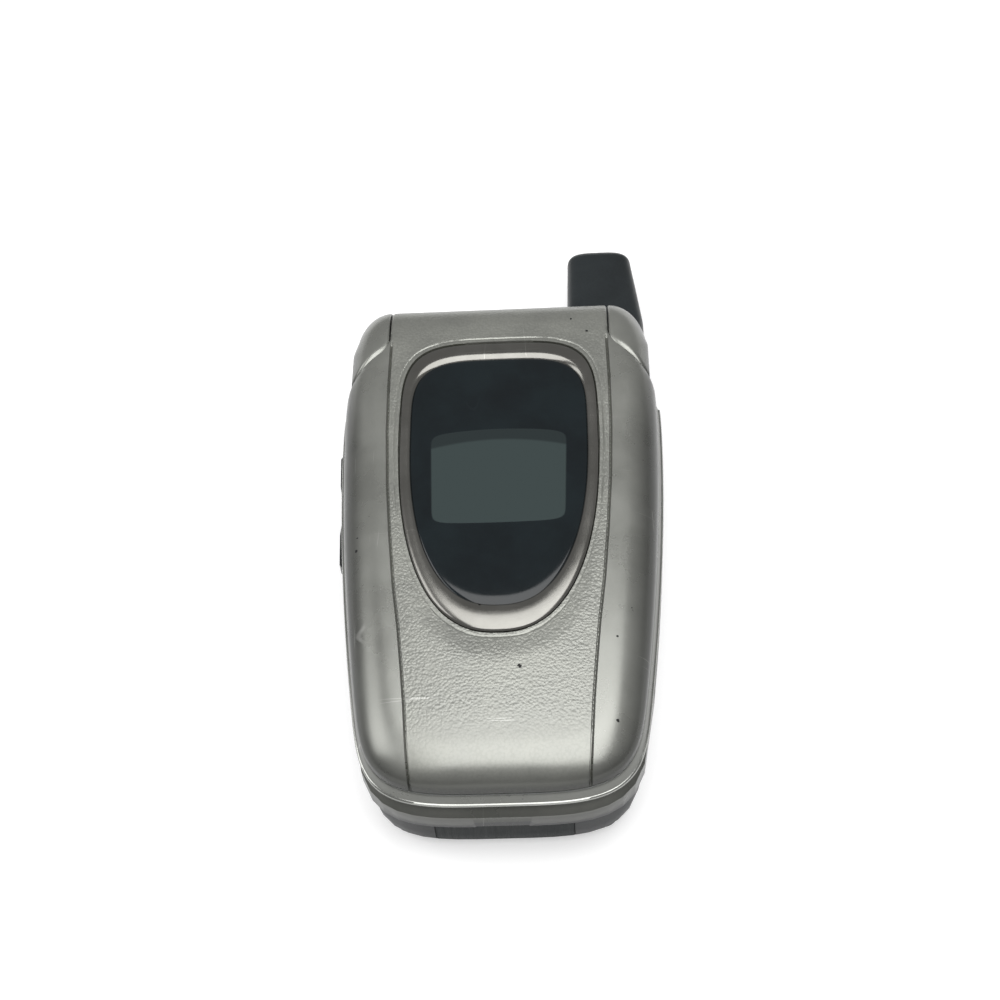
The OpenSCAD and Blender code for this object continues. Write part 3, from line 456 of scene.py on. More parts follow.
@dataclass(frozen=True)
class Finish:
    """One surface finish. Sizes are in millimetres."""

    name: str
    base: str
    second: str
    rough: float
    metallic: float = 0.0
    rough_spread: float = 0.12
    cloud: float = 8.0
    fleck: float = 0.22
    fleck_tint: float = 0.15
    texture: Texture = Texture.SATIN
    grain: float = 0.001
    scratches: float = 0.0
    chips: float = 0.0
    scratch_tone: str = "d8d8d4"
    chip_tone: str = "1a1a1a"
    specular: float = 0.5
    edge_shade: float = 0.0
    dark_foot: bool = False

    def material(self) -> bpy.types.Material:
        """Builds the material, or takes it if it is already there.

        Returns:
            The material. Its name differs from the frame's plain material of this slot.
        """
        label = f"{self.name}_dressed"
        have = bpy.data.materials.get(label)
        if have:
            return have
        d = Dresser(label)
        d.feed(d.shader.inputs["Metallic"], self.metallic)
        d.feed(d.shader.inputs["Specular IOR Level"], self.specular)
        self.paint(d)
        return d.mat

    def paint(self, d: Dresser) -> None:
        """Links colour, roughness and bump.

        Args:
            d: The dresser that holds the material.
        """
        grain = d.group("SurfaceGrain", Cloud=self.cloud, Fleck=self.fleck)
        marks = d.group("Hairlines", Size=WEAR_AND_SHADE.hairline_size, Spread=self.scratches).outputs[0]
        chips = d.group("ChipsAndDirt", Size=WEAR_AND_SHADE.chip_size, Amount=self.chips).outputs[0]
        fleck = d.times(d.minus(grain.outputs["Fleck"], 0.5), self.fleck_tint * 6)
        tint = d.plus(grain.outputs["Tint"], fleck)
        colour = d.mix(d.step(tint, 0.3, 0.7), tone(self.base), tone(self.second))
        colour = self.tint_more(d, colour)
        colour = d.mix(marks, colour, tone(self.scratch_tone))
        colour = d.mix(chips, colour, tone(self.chip_tone))
        d.join(colour, "Base Color")
        rough = d.math("MULTIPLY_ADD", d.minus(grain.outputs["Tint"], 0.5),
                       self.rough_spread * 2, self.rough)
        d.join(d.plus(rough, d.times(chips, WEAR_AND_SHADE.chip_rougher)), "Roughness")
        height = self.height_more(d, d.times(grain.outputs["Height"], self.grain))
        height = d.minus(height, d.times(marks, WEAR_AND_SHADE.hairline_deep))
        d.bump(d.minus(height, d.times(chips, WEAR_AND_SHADE.chip_deep)))

    def tint_more(self, d: Dresser, colour: Socket) -> Socket:
        """Adds this finish's own pattern and its painted shade to its colour.

        Args:
            d: The dresser that holds the material.
            colour: The plain colour.

        Returns:
            The colour with its pattern and painted shade.
        """
        if self.edge_shade:
            colour = self.shade_edge(d, colour)
        if self.dark_foot:
            colour = self.shade_foot(d, colour)
        if self.texture is Texture.PEBBLED:
            # Painted shade: the pebbled skin's valleys are darkened.
            valley = d.group("PebbledSkin", Size=WEAR_AND_SHADE.pebble_size).outputs["Valley"]
            colour = d.mix(d.times(valley, WEAR_AND_SHADE.valley_shade), colour, tone("5d5e5a"))
        return colour

    def shade_edge(self, d: Dresser, colour: Socket) -> Socket:
        """Paints shade: darkens the paint where it falls away from the lid's crown.

        Args:
            d: The dresser that holds the material.
            colour: The colour so far.

        Returns:
            The shaded colour.
        """
        _, y, z = d.axes()
        back = d.math("DIVIDE", d.minus(FORM.hinge_y, y), FORM.hinge_y + FORM.front_len)
        crown = d.math("MULTIPLY_ADD", d.times(back, back), -FORM.front_fall, FORM.thickness)
        below = d.step(d.minus(crown, z), *SHADE.edge_drop)
        return d.mix(d.times(below, self.edge_shade), colour, tone(SHADE.room))

    def shade_foot(self, d: Dresser, colour: Socket) -> Socket:
        """Leaves the foot dark and unpainted, also over the front notch, and paints shade on the
        wall above it.

        Args:
            d: The dresser that holds the material.
            colour: The colour so far.

        Returns:
            The shaded colour.
        """
        x, _, z = d.axes()
        notch = d.inverse(d.step(d.math("ABSOLUTE", x), *SHADE.notch_half))
        edge = d.math("MULTIPLY_ADD", notch, SHADE.notch_rise, SHADE.foot_z)
        foot = d.inverse(d.step(d.minus(z, edge), -SHADE.foot_soft, SHADE.foot_soft))
        # Painted shade: the wall above the foot darkens towards the bottom.
        wall = d.inverse(d.step(z, *(SHADE.foot_z + rise for rise in SHADE.wall_rise)))
        colour = d.mix(d.times(wall, SHADE.wall), colour, tone(SHADE.room))
        d.join(d.times(d.inverse(foot), self.metallic), "Metallic")
        return d.mix(foot, colour, tone(SHADE.foot))

    def height_more(self, d: Dresser, height: Socket) -> Socket:
        """Adds this finish's own relief to its height.

        Args:
            d: The dresser that holds the material.
            height: The plain height in millimetres.

        Returns:
            The height with its relief.
        """
        if self.texture is Texture.PEBBLED:
            skin = d.group("PebbledSkin", Size=WEAR_AND_SHADE.pebble_size).outputs["Height"]
            fade = d.times(d.step(d.axes()[1], *WEAR_AND_SHADE.pebble_fade), WEAR_AND_SHADE.pebble_high)
            return d.plus(height, d.times(skin, fade))
        if self.texture is Texture.RIBBED:
            ribs = d.group("MouldedRibs", Pitch=WEAR_AND_SHADE.rib_pitch).outputs["Height"]
            return d.plus(height, d.times(ribs, WEAR_AND_SHADE.rib_high))
        return height


@dataclass(frozen=True)
class ScreenFinish(Finish):
    """Dark inner glass with the main display's bright area behind it."""

    half: float = 12.2
    y_low: float = -19.6
    y_high: float = 8.2
    line: tuple[float, float] = (0.35, 0.45)
    soft: float = 0.05

    def tint_more(self, d: Dresser, colour: Socket) -> Socket:
        """Adds the display area and the thin printed frame round it.

        Args:
            d: The dresser that holds the material.
            colour: The plain colour.

        Returns:
            The colour with the display.
        """
        x, y, _ = d.axes()
        mid, tall = (self.y_low + self.y_high) / 2, (self.y_high - self.y_low) / 2
        across = d.minus(d.math("ABSOLUTE", x), self.half)
        along = d.minus(d.math("ABSOLUTE", d.minus(y, mid)), tall)
        beyond = d.math("MAXIMUM", across, along)
        shown = d.inverse(d.step(beyond, -self.soft, self.soft))
        printed = d.minus(d.inverse(d.step(beyond, *self.line)), shown)
        colour = d.mix(d.times(printed, 0.8), colour, tone("7c8284"))
        return d.mix(shown, colour, tone("3c4849"))


@dataclass(frozen=True)
class PaneFinish(Finish):
    """Dark window glass with the printed mask, the display behind it and a painted shadow across
    the display's top.
    """

    half: float = 9.9
    y_low: float = -2.6
    y_high: float = 14.3
    # Painted shadow across the display's top: where it fades out and where it is full, below the
    # top.
    band: tuple[float, float] = (2.2, 1.7)
    soft: tuple[float, float] = (0.86, 1.12)

    def tint_more(self, d: Dresser, colour: Socket) -> Socket:
        """Adds the barrel-shaped display area with a painted shadow as a darker band across its
        top.

        Args:
            d: The dresser that holds the material.
            colour: The plain colour.

        Returns:
            The colour with the display.
        """
        x, y, _ = d.axes()
        mid, tall = (self.y_low + self.y_high) / 2, (self.y_high - self.y_low) / 2
        bulge = d.times(x, x)
        arch = d.math("MULTIPLY_ADD", bulge, -0.0006 * tall, tall)
        up = d.math("DIVIDE", d.math("ABSOLUTE", d.minus(y, mid)), arch)
        lean = d.math("MULTIPLY_ADD", y, 0.03, self.half - 0.33)
        side = d.math("DIVIDE", d.math("ABSOLUTE", x), lean)
        reach = d.plus(d.math("POWER", side, 9.0), d.math("POWER", up, 16.0))
        inside = d.inverse(d.step(reach, *self.soft))
        # Painted shadow: the window's top edge shades the display below it.
        bow = d.math("MULTIPLY_ADD", bulge, 0.011, y)
        band = d.step(bow, *(self.y_high - drop for drop in self.band))
        return d.mix(inside, colour, d.mix(band, tone("2e3737"), tone("1f2627")))


SILVER_BAND = Finish("silver_band", "7f807b", "888983", 0.33, metallic=0.6, texture=Texture.PEBBLED,
                     fleck_tint=0.04, grain=0.004, scratches=0.2, chips=0.36, edge_shade=0.9)
SILVER_WING = Finish("silver_wing", "7f807b", "878883", 0.29, metallic=0.65, fleck_tint=0.04,
                     grain=0.002, scratches=0.22, chips=0.36, edge_shade=0.92)
SILVER_EAR = Finish("silver_ear", "7f807b", "868782", 0.3, metallic=0.65, fleck_tint=0.04,
                    grain=0.002, scratches=0.22, chips=0.3, edge_shade=0.8, dark_foot=True)
# Painted shade: this is a darker copy of the wings' silver paint.
SHADED_SILVER_LIP = Finish("silver_lip_shaded", "6a6b66", "72736e", 0.3, metallic=0.65, fleck_tint=0.04,
                    grain=0.002, scratches=0.25, chips=0.08, dark_foot=True)
SILVER_RIM = Finish("silver_rim", "6e6f6b", "777874", 0.3, metallic=0.65, fleck_tint=0.04,
                    grain=0.002, scratches=0.25, chips=0.06)
TRIM = Finish("trim_polish", "8f908c", "9a9b97", 0.2, metallic=0.9, fleck_tint=0.02,
              scratches=0.5, chips=0.04)
SILVER_INNER = Finish("silver_inner", "6f716f", "797b79", 0.36, metallic=0.35, grain=0.003,
                      fleck_tint=0.05, scratches=0.2, chips=0.01)
GROOVE_DARK = Finish("groove_dark", "2f302a", "3b3c34", 0.65, grain=0.006)
BEZEL = Finish("bezel_polish", "6d6c68", "787773", 0.2, metallic=0.9, fleck_tint=0.03,
               scratches=0.35, chips=0.07, scratch_tone="c4c1bd")
PANE = PaneFinish("window_pane", "0b1114", "10181b", 0.1, rough_spread=0.05, grain=0.0005,
                  scratches=0.03, fleck_tint=0.02, specular=0.33, scratch_tone="4a5458")
SEND_MARK = Finish("send_mark", "2f8a4a", "379654", 0.4)
END_MARK = Finish("end_mark", "b02a26", "bc342e", 0.4)
INK = Finish("printed_ink", "23262b", "2d3036", 0.5)
OWN_SLOT = (
    ScreenFinish("display_glass", "07090b", "0c0f11", 0.08, rough_spread=0.04, grain=0.0004,
                 scratches=0.03, specular=0.16),
    Finish("display_panel", "59625f", "646e6a", 0.3),
    Finish("circuit_board", "1d4a30", "2a5c3c", 0.42, cloud=2.2, grain=0.01, chips=0.25,
           chip_tone="c9b26a"),
    Finish("tin_plate", "b8bab8", "cdcecb", 0.32, metallic=0.9, grain=0.004, scratches=0.5),
    Finish("screw_steel", "6f7070", "8b8c8b", 0.3, metallic=1.0, cloud=1.5, grain=0.004,
           scratches=0.6),
    Finish("hinge_steel", "9a9b9a", "b0b1af", 0.26, metallic=1.0, grain=0.003, scratches=0.5),
    Finish("bumper_rubber", "3a3c3d", "474a4b", 0.75, grain=0.012, scratches=0.05),
    Finish("flex_film", "8a4d16", "a8642a", 0.35, grain=0.003, scratches=0.1),
    Finish("dark_case", "2b2d2e", "323435", 0.48, grain=0.014, fleck=0.3, fleck_tint=0.2,
           scratches=0.3, chips=0.03, scratch_tone="585b5d", specular=0.35),
    Finish("mat_rubber", "8d9092", "9a9da0", 0.6, grain=0.008),
    Finish("black_plastic", "141618", "1c1e20", 0.4, grain=0.006, scratches=0.2,
           scratch_tone="45484a", specular=0.25),
    Finish("card_plastic", "d8dad8", "e6e7e4", 0.35, grain=0.002, scratches=0.1),
    Finish("antenna_plastic", "191d1f", "1f2426", 0.42, grain=0.006, fleck=0.35, fleck_tint=0.1,
           scratches=0.35, chips=0.03, scratch_tone="3c4347", chip_tone="495054", specular=0.3),
    Finish("gold_brass", "b08a3c", "c49c4c", 0.28, metallic=1.0, grain=0.003, scratches=0.4),
    Finish("cover_rubber", "14191a", "1a1f20", 0.6, texture=Texture.RIBBED, grain=0.01,
           scratches=0.1, scratch_tone="3b4448", specular=0.3),
    Finish("key_plastic", "a5aaad", "b1b5b8", 0.32, metallic=0.2, grain=0.002, scratches=0.15),
    Finish("function_plastic", "7b8085", "898e92", 0.3, metallic=0.45, grain=0.002,
           scratches=0.15),
)
FINISHES: dict[str, Finish] = {
    "silver_paint": SHADED_SILVER_LIP,
    "silver_satin": SILVER_INNER,
    "bezel_metal": BEZEL,
    "window_glass": PANE,
    **{finish.name: finish for finish in OWN_SLOT},
}


# ---------------------------------------------------------------- mesh helpers


def add_object(name: str, data: bpy.types.ID) -> bpy.types.Object:
    """Puts data into the scene.

    Args:
        name: Name of the new object.
        data: Its mesh, curve, lamp or camera.

    Returns:
        The new object.
    """
    obj = bpy.data.objects.new(name, data)
    bpy.context.scene.collection.objects.link(obj)
    return obj


@dataclass(frozen=True)
class Piece:
    """One new mesh: what carries it, its material slot and the nodes it stands for."""

    name: str
    body: str
    slot: str
    stands_for: tuple[str, ...] = ()
    weld: float = 0.0005

    def make(self, points: Sequence[Point], faces: Sequence[Sequence[int]],
             finishes: Sequence[Finish], smooth_deg: float = 50.0,
             pick: Optional[Callable[[Vector], int]] = None) -> bpy.types.Object:
        """Builds the mesh, dresses it and tells the frame what it is.

        Args:
            points: Vertices in millimetres. Those nearer than weld become one.
            faces: Vertex numbers of each face.
            finishes: One finish for each material slot.
            smooth_deg: Edges sharper than this stay sharp.
            pick: Gives a face's material number from its centre in millimetres.

        Returns:
            The new object.
        """
        mesh = bpy.data.meshes.new(self.name)
        mesh.from_pydata([(x * MM, y * MM, z * MM) for x, y, z in points], [],
                         [list(f) for f in faces])
        bm = bmesh.new()
        bm.from_mesh(mesh)
        bmesh.ops.remove_doubles(bm, verts=bm.verts, dist=self.weld * MM)
        bmesh.ops.dissolve_degenerate(bm, dist=1e-8, edges=bm.edges)
        bmesh.ops.recalc_face_normals(bm, faces=bm.faces)
        for face in bm.faces:
            face.smooth = True
            if pick:
                face.material_index = pick(face.calc_center_median() / MM)
        bm.to_mesh(mesh)
        bm.free()
        mesh.set_sharp_from_angle(angle=math.radians(smooth_deg))
        for finish in finishes:
            mesh.materials.append(finish.material())
        obj = add_object(self.name, mesh)
        self.tell(obj)
        return obj

    def tell(self, obj: bpy.types.Object) -> None:
        """Tells the frame what carries an object and what it stands for.

        Args:
            obj: The object of this piece.
        """
        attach(obj, self.body)
        if self.stands_for:
            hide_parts(*self.stands_for)
        LOG.info("built %s on %s", self.name, self.body)


def loft(rings: Sequence[Sequence[Point]], capped: bool = True) -> tuple[list[Point], Faces]:
    """Joins closed rings of equal length into one skin.

    Args:
        rings: The rings, each a list of points.
        capped: Closes the first and the last ring.

    Returns:
        Points and faces.
    """
    n, last = len(rings[0]), len(rings) - 1
    points = [p for ring in rings for p in ring]
    faces = [[k * n + i, k * n + (i + 1) % n, (k + 1) * n + (i + 1) % n, (k + 1) * n + i]
             for k in range(last) for i in range(n)]
    if capped:
        faces += [list(range(n))[::-1], [last * n + i for i in range(n)]]
    return points, faces


def lifted(plan: np.ndarray, z: Union[float, np.ndarray]) -> list[Point]:
    """Gives points in plan their height.

    Args:
        plan: The points' x and y.
        z: One height for all, or one for each.

    Returns:
        The points.
    """
    x, y = plan[:, 0], plan[:, 1]
    return list(zip(x.tolist(), y.tolist(), np.broadcast_to(z, len(x)).tolist()))


def looped(line: np.ndarray) -> np.ndarray:
    """Closes a line with its own first point."""
    return np.concatenate([line, line[:1]])


def evenly(line: np.ndarray, gap: float = 1.0, count: int = 0) -> np.ndarray:
    """Spreads points evenly along a line.

    Args:
        line: The line's own points.
        gap: About how far apart the new ones are.
        count: How many there are, if that is given.

    Returns:
        The new points.
    """
    along = np.concatenate([[0.0], np.cumsum(np.hypot(*np.diff(line, axis=0).T))])
    count = count or max(2, int(round(along[-1] / gap)) + 1)
    want = np.linspace(0.0, along[-1], count)
    return np.stack([np.interp(want, along, line[:, k]) for k in range(2)], axis=1)


def within(points: np.ndarray, shape: np.ndarray) -> np.ndarray:
    """Says which points lie inside a closed outline.

    Args:
        points: The points in plan.
        shape: Corners of the outline.

    Returns:
        True for each point inside.
    """
    x, y = points[:, 0], points[:, 1]
    hit = np.zeros(len(points), dtype=bool)
    for a, b in zip(shape, np.roll(shape, -1, axis=0)):
        spans = (a[1] > y) != (b[1] > y)
        slope = (b[0] - a[0]) / (b[1] - a[1] if b[1] != a[1] else 1e-12)
        hit ^= spans & (x < a[0] + (y - a[1]) * slope)
    return hit


def powered(angle: np.ndarray, power: Union[float, np.ndarray]) -> tuple[np.ndarray, np.ndarray]:
    """Gives a unit superellipse.

    Args:
        angle: Angles round it, in radians.
        power: Its power, or one for each angle.

    Returns:
        The points' x and y.
    """
    c, s = np.cos(angle), np.sin(angle)
    return np.sign(c) * np.abs(c) ** (2 / power), np.sign(s) * np.abs(s) ** (2 / power)


def superellipse(half_w: float, half_h: float, power: float, count: int) -> np.ndarray:
    """Gives points round a superellipse about the origin.

    Args:
        half_w: Half its width.
        half_h: Half its height.
        power: Its power, 2 for an ellipse.
        count: Number of points.

    Returns:
        The points.
    """
    x, y = powered(np.arange(count) * 2 * math.pi / count, power)
    return np.stack([half_w * x, half_h * y], axis=1)


# ---------------------------------------------------------------- the phone's form


@dataclass(frozen=True)
class Form:
    """Sizes of the phone's outline and lid, in millimetres, as the CAD has them."""

    half_w: float = 23.7
    side_draw: float = 5.9
    rear_draw: float = 0.8
    taper_y: float = 23.0
    rear_taper_y: float = 20.0
    front_len: float = 42.3
    front_c: float = 25.0
    hinge_y: float = 35.0
    hinge_z: float = 15.0
    thickness: float = 23.0
    barrel_r: float = 8.0
    barrel_half: float = 16.7
    knuckle_x: float = 16.9
    shoulder_reach: float = 1.4
    swing_gap: float = 0.3
    split_z: float = 15.5
    side_z: float = 16.6
    lid_round: float = 5.2
    front_fall: float = 3.1
    side_fall: float = 1.8
    flat_y: float = 33.0
    flat_run: float = 20.0
    draw_power: float = 1.8
    nose_power: float = 5.0
    flank_power: float = 4.0
    knuckle_run: float = 1.8
    probe: float = 0.04

    def side_w(self, y: np.ndarray) -> np.ndarray:
        """Gives the phone's half width.

        Args:
            y: Places along the phone.

        Returns:
            The half width at each.
        """
        y = np.asarray(y, dtype=float)
        front = np.maximum(0, self.taper_y - y) / (self.taper_y + self.front_len)
        rear = np.maximum(0, y - self.rear_taper_y) / (self.hinge_y - self.rear_taper_y)
        drawn = self.side_draw * front ** self.draw_power + self.rear_draw * rear ** 2
        return self.half_w - drawn

    def inset(self, x: np.ndarray, y: np.ndarray) -> np.ndarray:
        """Measures how far points lie inside the lid's outline.

        Args:
            x: The points' x.
            y: The points' y.

        Returns:
            The inset of each.
        """
        x, y = np.abs(np.asarray(x, float)), np.asarray(y, float)
        w = self.side_w(y)
        deep = self.front_len - self.front_c
        low, high = np.full(x.shape, -1.5), np.full(x.shape, deep - 0.4)
        ahead = np.maximum(0.0, -self.front_c - y)
        for _ in range(44):
            mid = (low + high) / 2
            nose = (ahead / (deep - mid)) ** self.nose_power
            out = nose + (x / np.maximum(w - mid, 0.1)) ** self.flank_power > 1
            high, low = np.where(out, mid, high), np.where(out, low, mid)
        return np.where(y < -self.front_c, (low + high) / 2, w - x)

    def top(self, x: np.ndarray, y: np.ndarray) -> np.ndarray:
        """Gives the height of the lid's crown, before its edge rounding.

        Args:
            x: The points' x.
            y: The points' y.

        Returns:
            The height at each.
        """
        fall = (np.maximum(0, self.hinge_y - y) / (self.hinge_y + self.front_len)) ** 2
        side = (np.asarray(x) / self.half_w) ** 2
        side = side * np.clip((self.flat_y - np.asarray(y)) / self.flat_run, 0, 1)
        return self.thickness - self.front_fall * fall - self.side_fall * side

    def rise(self, s: np.ndarray) -> np.ndarray:
        """Share of the crown's height that is reached at inset s (sine of the edge angle)."""
        c = 1 - np.clip(s, 0, self.lid_round) / self.lid_round
        return np.sqrt(np.maximum(0, 1 - c * c))

    def surface(self, x: np.ndarray, y: np.ndarray) -> np.ndarray:
        """Height of the lid's outer surface."""
        return self.side_z + (self.top(x, y) - self.side_z) * self.rise(self.inset(x, y))

    def slope(self, height: Callable, x: np.ndarray, y: np.ndarray) -> tuple:
        """Measures how a value changes over the plan.

        Args:
            height: Gives the value at x and y.
            x: The points' x.
            y: The points' y.

        Returns:
            The change along x and along y, per millimetre.
        """
        h = self.probe
        return ((height(x + h, y) - height(x - h, y)) / (2 * h),
                (height(x, y + h) - height(x, y - h)) / (2 * h))

    def outward(self, x: np.ndarray, y: np.ndarray) -> np.ndarray:
        """Gives the direction in plan that points out of the outline.

        Args:
            x: The points' x.
            y: The points' y.

        Returns:
            A unit vector for each.
        """
        gx, gy = self.slope(self.inset, x, y)
        size = np.maximum(np.hypot(gx, gy), 1e-8)
        return np.stack([-gx / size, -gy / size], axis=-1)

    def normal(self, x: np.ndarray, y: np.ndarray) -> np.ndarray:
        """Gives the normal of the lid's outer surface.

        Args:
            x: The points' x.
            y: The points' y.

        Returns:
            A unit vector for each.
        """
        up = self.rise(self.inset(x, y))
        flat = np.sqrt(1 - up * up)
        out = self.outward(x, y)
        tx, ty = self.slope(self.top, x, y)
        n = np.stack([out[..., 0] * flat - tx * up, out[..., 1] * flat - ty * up, up], axis=-1)
        return n / np.linalg.norm(n, axis=-1, keepdims=True)

    def knuckle_reach(self, x: np.ndarray) -> np.ndarray:
        """Radius of the space round a knuckle's front."""
        grow = 1 - np.exp(-np.maximum(0, np.asarray(x) - self.knuckle_x) / self.knuckle_run)
        return self.barrel_r + self.shoulder_reach * grow + self.swing_gap

    def shoulder_y(self, x: np.ndarray) -> np.ndarray:
        """Finds where the lid's surface meets the space round the knuckle.

        Args:
            x: Places along the hinge.

        Returns:
            The y at each.
        """
        reach = self.knuckle_reach(x)
        low, high = np.full(np.shape(x), 20.0), np.full(np.shape(x), 34.5)
        for _ in range(40):
            mid = (low + high) / 2
            out = (self.hinge_y - mid) ** 2 + (self.surface(x, mid) - self.hinge_z) ** 2
            far = out > reach ** 2
            low, high = np.where(far, mid, low), np.where(far, high, mid)
        return (low + high) / 2

    def edge_line(self, s: float, y_start: float) -> np.ndarray:
        """Draws the outline from the right side round the front to the left side.

        Args:
            s: How far inside the outline it runs.
            y_start: Where it starts and ends.

        Returns:
            Its points.
        """
        ys = np.linspace(y_start, -self.front_c, 120)
        side = np.stack([self.side_w(ys) - s, ys], axis=1)
        a = np.linspace(0, math.pi / 2, 400)[1:]
        y = -self.front_c - (self.front_len - s - self.front_c) * np.sin(a) ** (2 / self.nose_power)
        x = (self.side_w(y) - s) * np.maximum(np.cos(a), 0) ** (2 / self.flank_power)
        half = np.concatenate([side, np.stack([x, y], axis=1)])
        return np.concatenate([half, half[:-1][::-1] * (-1, 1)])


@dataclass(frozen=True)
class Egg:
    """Outline of the window: half width, reach up and reach down from its centre."""

    half: float = 13.05
    up: float = 13.6
    down: float = 30.9
    mid: float = 14.6
    power_up: float = 4.0
    power_down: float = 2.4

    def grown(self, side: float, top: float, foot: float) -> "Egg":
        """Gives the outline grown at its side, top and foot."""
        return Egg(self.half + side, self.up + top, self.down + foot, self.mid)

    def ring(self, grow: float) -> np.ndarray:
        """Gives points round the outline grown evenly."""
        return self.grown(grow, grow, grow).line(180)

    def line(self, count: int) -> np.ndarray:
        """Gives points round the outline.

        Args:
            count: Number of points.

        Returns:
            The points.
        """
        t = np.arange(count) * 2 * math.pi / count
        upper = np.sin(t) >= 0
        x, y = powered(t, np.where(upper, self.power_up, self.power_down))
        return np.stack([self.half * x, self.mid + np.where(upper, self.up, self.down) * y], axis=1)

    def beyond(self, x: np.ndarray, y: np.ndarray) -> np.ndarray:
        """Measures how far points lie outside the outline, along the ray from its centre.

        Args:
            x: The points' x.
            y: The points' y.

        Returns:
            About the distance of each.
        """
        dy = np.asarray(y) - self.mid
        power = np.where(dy >= 0, self.power_up, self.power_down)
        reach = np.where(dy >= 0, self.up, self.down)
        rho = ((np.abs(x) / self.half) ** power + (np.abs(dy) / reach) ** power) ** (1 / power)
        return np.hypot(x, dy) * (1 - 1 / np.maximum(rho, 1e-6))


FORM = Form()
LENS = Egg()
RIM = LENS.grown(1.6, 3.3, 4.2)


@dataclass
class LidShell:
    """The lid's painted outer shell with its seams, window moat and hinge barrel."""

    form: Form = FORM
    rim: Egg = RIM
    cell: float = 0.85
    seam_depth: float = 0.32
    seam_half: float = 0.1
    seam_foot: float = 0.24
    gap_wide: float = 0.14
    gap_deep: float = 0.4
    crease_at: float = 0.82
    crease_deep: float = 0.1
    crease_half: float = 0.13
    dish_deep: float = 0.3
    edge_roll: float = 0.25
    barrel_skin: float = 0.05
    roll_wide: float = 0.4
    lip: float = 0.01
    lines_end: float = 34.0
    seam_end: float = 32.4
    groove_end: float = 31.6
    crest: float = 34.9
    shoulder_from: tuple[float, float] = (15.5, 23.0)
    dish_from: float = 8.0
    dish_run: float = 26.0
    dish_wide: tuple[float, float] = (0.9, 3.6)
    clear_edge: float = 5.6
    clear_rim: float = 3.7
    clear_seam: float = 0.7
    seam_y: tuple[float, ...] = (-43.0, -39.5, -31, -26, -19, -12, -3.4, 5.5, 15, 24.5, 32, 35.1)
    seam_x: tuple[float, ...] = (11.7, 12.05, 12.65, 13.1, 13.8, 14.7, 15.5, 16.15, 16.55, 16.6,
                                 16.45, 16.45)
    moat: tuple[float, ...] = (-0.35, 0.0, 0.13, 0.2, 0.35, 0.55, 0.7, 0.82, 0.94, 1.1, 1.6, 2.3,
                               3.2)
    roll_steps: tuple[float, ...] = (0.05, 0.12, 0.2, 0.3, 0.42)

    def seam(self, y: np.ndarray) -> np.ndarray:
        """The seam's distance from the middle at y."""
        return np.interp(y, self.seam_y, self.seam_x)

    def shoulder(self, x: np.ndarray, y: np.ndarray) -> np.ndarray:
        """Says which points lie near the rear edge of a wing."""
        return (y > self.shoulder_from[1]) & (np.abs(x) > self.shoulder_from[0])

    def rear_line(self) -> np.ndarray:
        """Draws the right half of the top's rear edge, from the barrel's end to the side.

        Returns:
            Its points.
        """
        f = self.form
        xs = np.concatenate([np.linspace(f.barrel_half, 18.5, 12), np.linspace(18.7, 22.6, 24)])
        ys = f.shoulder_y(xs)
        keep = f.inset(xs, ys) > 0.12
        xs, ys = xs[keep], ys[keep]
        reach = f.knuckle_reach(np.array([22.9]))[0]
        y_end = f.hinge_y - math.sqrt(reach ** 2 - (f.side_z - f.hinge_z) ** 2)
        end = np.array([[float(f.side_w(y_end)), y_end]])
        start = np.array([[f.barrel_half, f.hinge_y]])
        edge = np.stack([np.full(6, f.barrel_half), np.linspace(34.4, ys[0] + 0.5, 6)], axis=1)
        return np.concatenate([start, edge, np.stack([xs, ys], axis=1), end])

    def outline(self) -> np.ndarray:
        """Draws the closed outline of the shell, which ends on the barrel's crest.

        Returns:
            Its points.
        """
        f, rear, roll = self.form, self.rear_line(), np.array(self.roll_steps)
        edge = evenly(f.edge_line(0.0, float(rear[-1, 1])))
        across = np.concatenate([roll - f.barrel_half, np.linspace(-16, 16, 41),
                                 f.barrel_half - roll[::-1]])
        crest = np.stack([across, np.full(len(across), f.hinge_y)], axis=1)
        return np.concatenate([rear[:-1], edge, (rear[::-1] * (-1, 1))[1:], crest])

    def surface_lines(self) -> list[np.ndarray]:
        """Draws each line that the triangles follow: outline, edge rounding, seams and moat.

        Returns:
            The points of each line.
        """
        f = self.form
        lines = [looped(self.outline())]
        for k in range(1, 10):
            inset = f.lid_round * (1 - math.cos(math.radians(10 * k)))
            lines.append(evenly(f.edge_line(inset, self.lines_end)))
        ys = np.linspace(-42.9, self.lines_end, 104)
        for off in (-self.seam_foot, -self.seam_half, 0.0, self.seam_half, self.seam_foot):
            lines += [np.stack([side * (self.seam(ys) + off), ys], axis=1) for side in (-1, 1)]
        return lines + [looped(self.rim.ring(grow)) for grow in self.moat]

    def grid(self) -> np.ndarray:
        """Spreads points over the open surface, clear of the lines.

        Returns:
            The points.
        """
        f = self.form
        gx, gy = (a.ravel() for a in np.meshgrid(np.arange(-22.95, 23.2, self.cell),
                                                 np.arange(-36.8, 34.9, self.cell)))
        clear = (f.inset(gx, gy) > self.clear_edge) & (self.rim.beyond(gx, gy) > self.clear_rim)
        clear &= np.abs(np.abs(gx) - self.seam(gy)) > self.clear_seam
        soft = (f.inset(gx, gy) > 0.5) & (gy > 26) & (np.abs(gx) > 16)
        return np.stack([gx, gy], axis=1)[clear & ~soft]

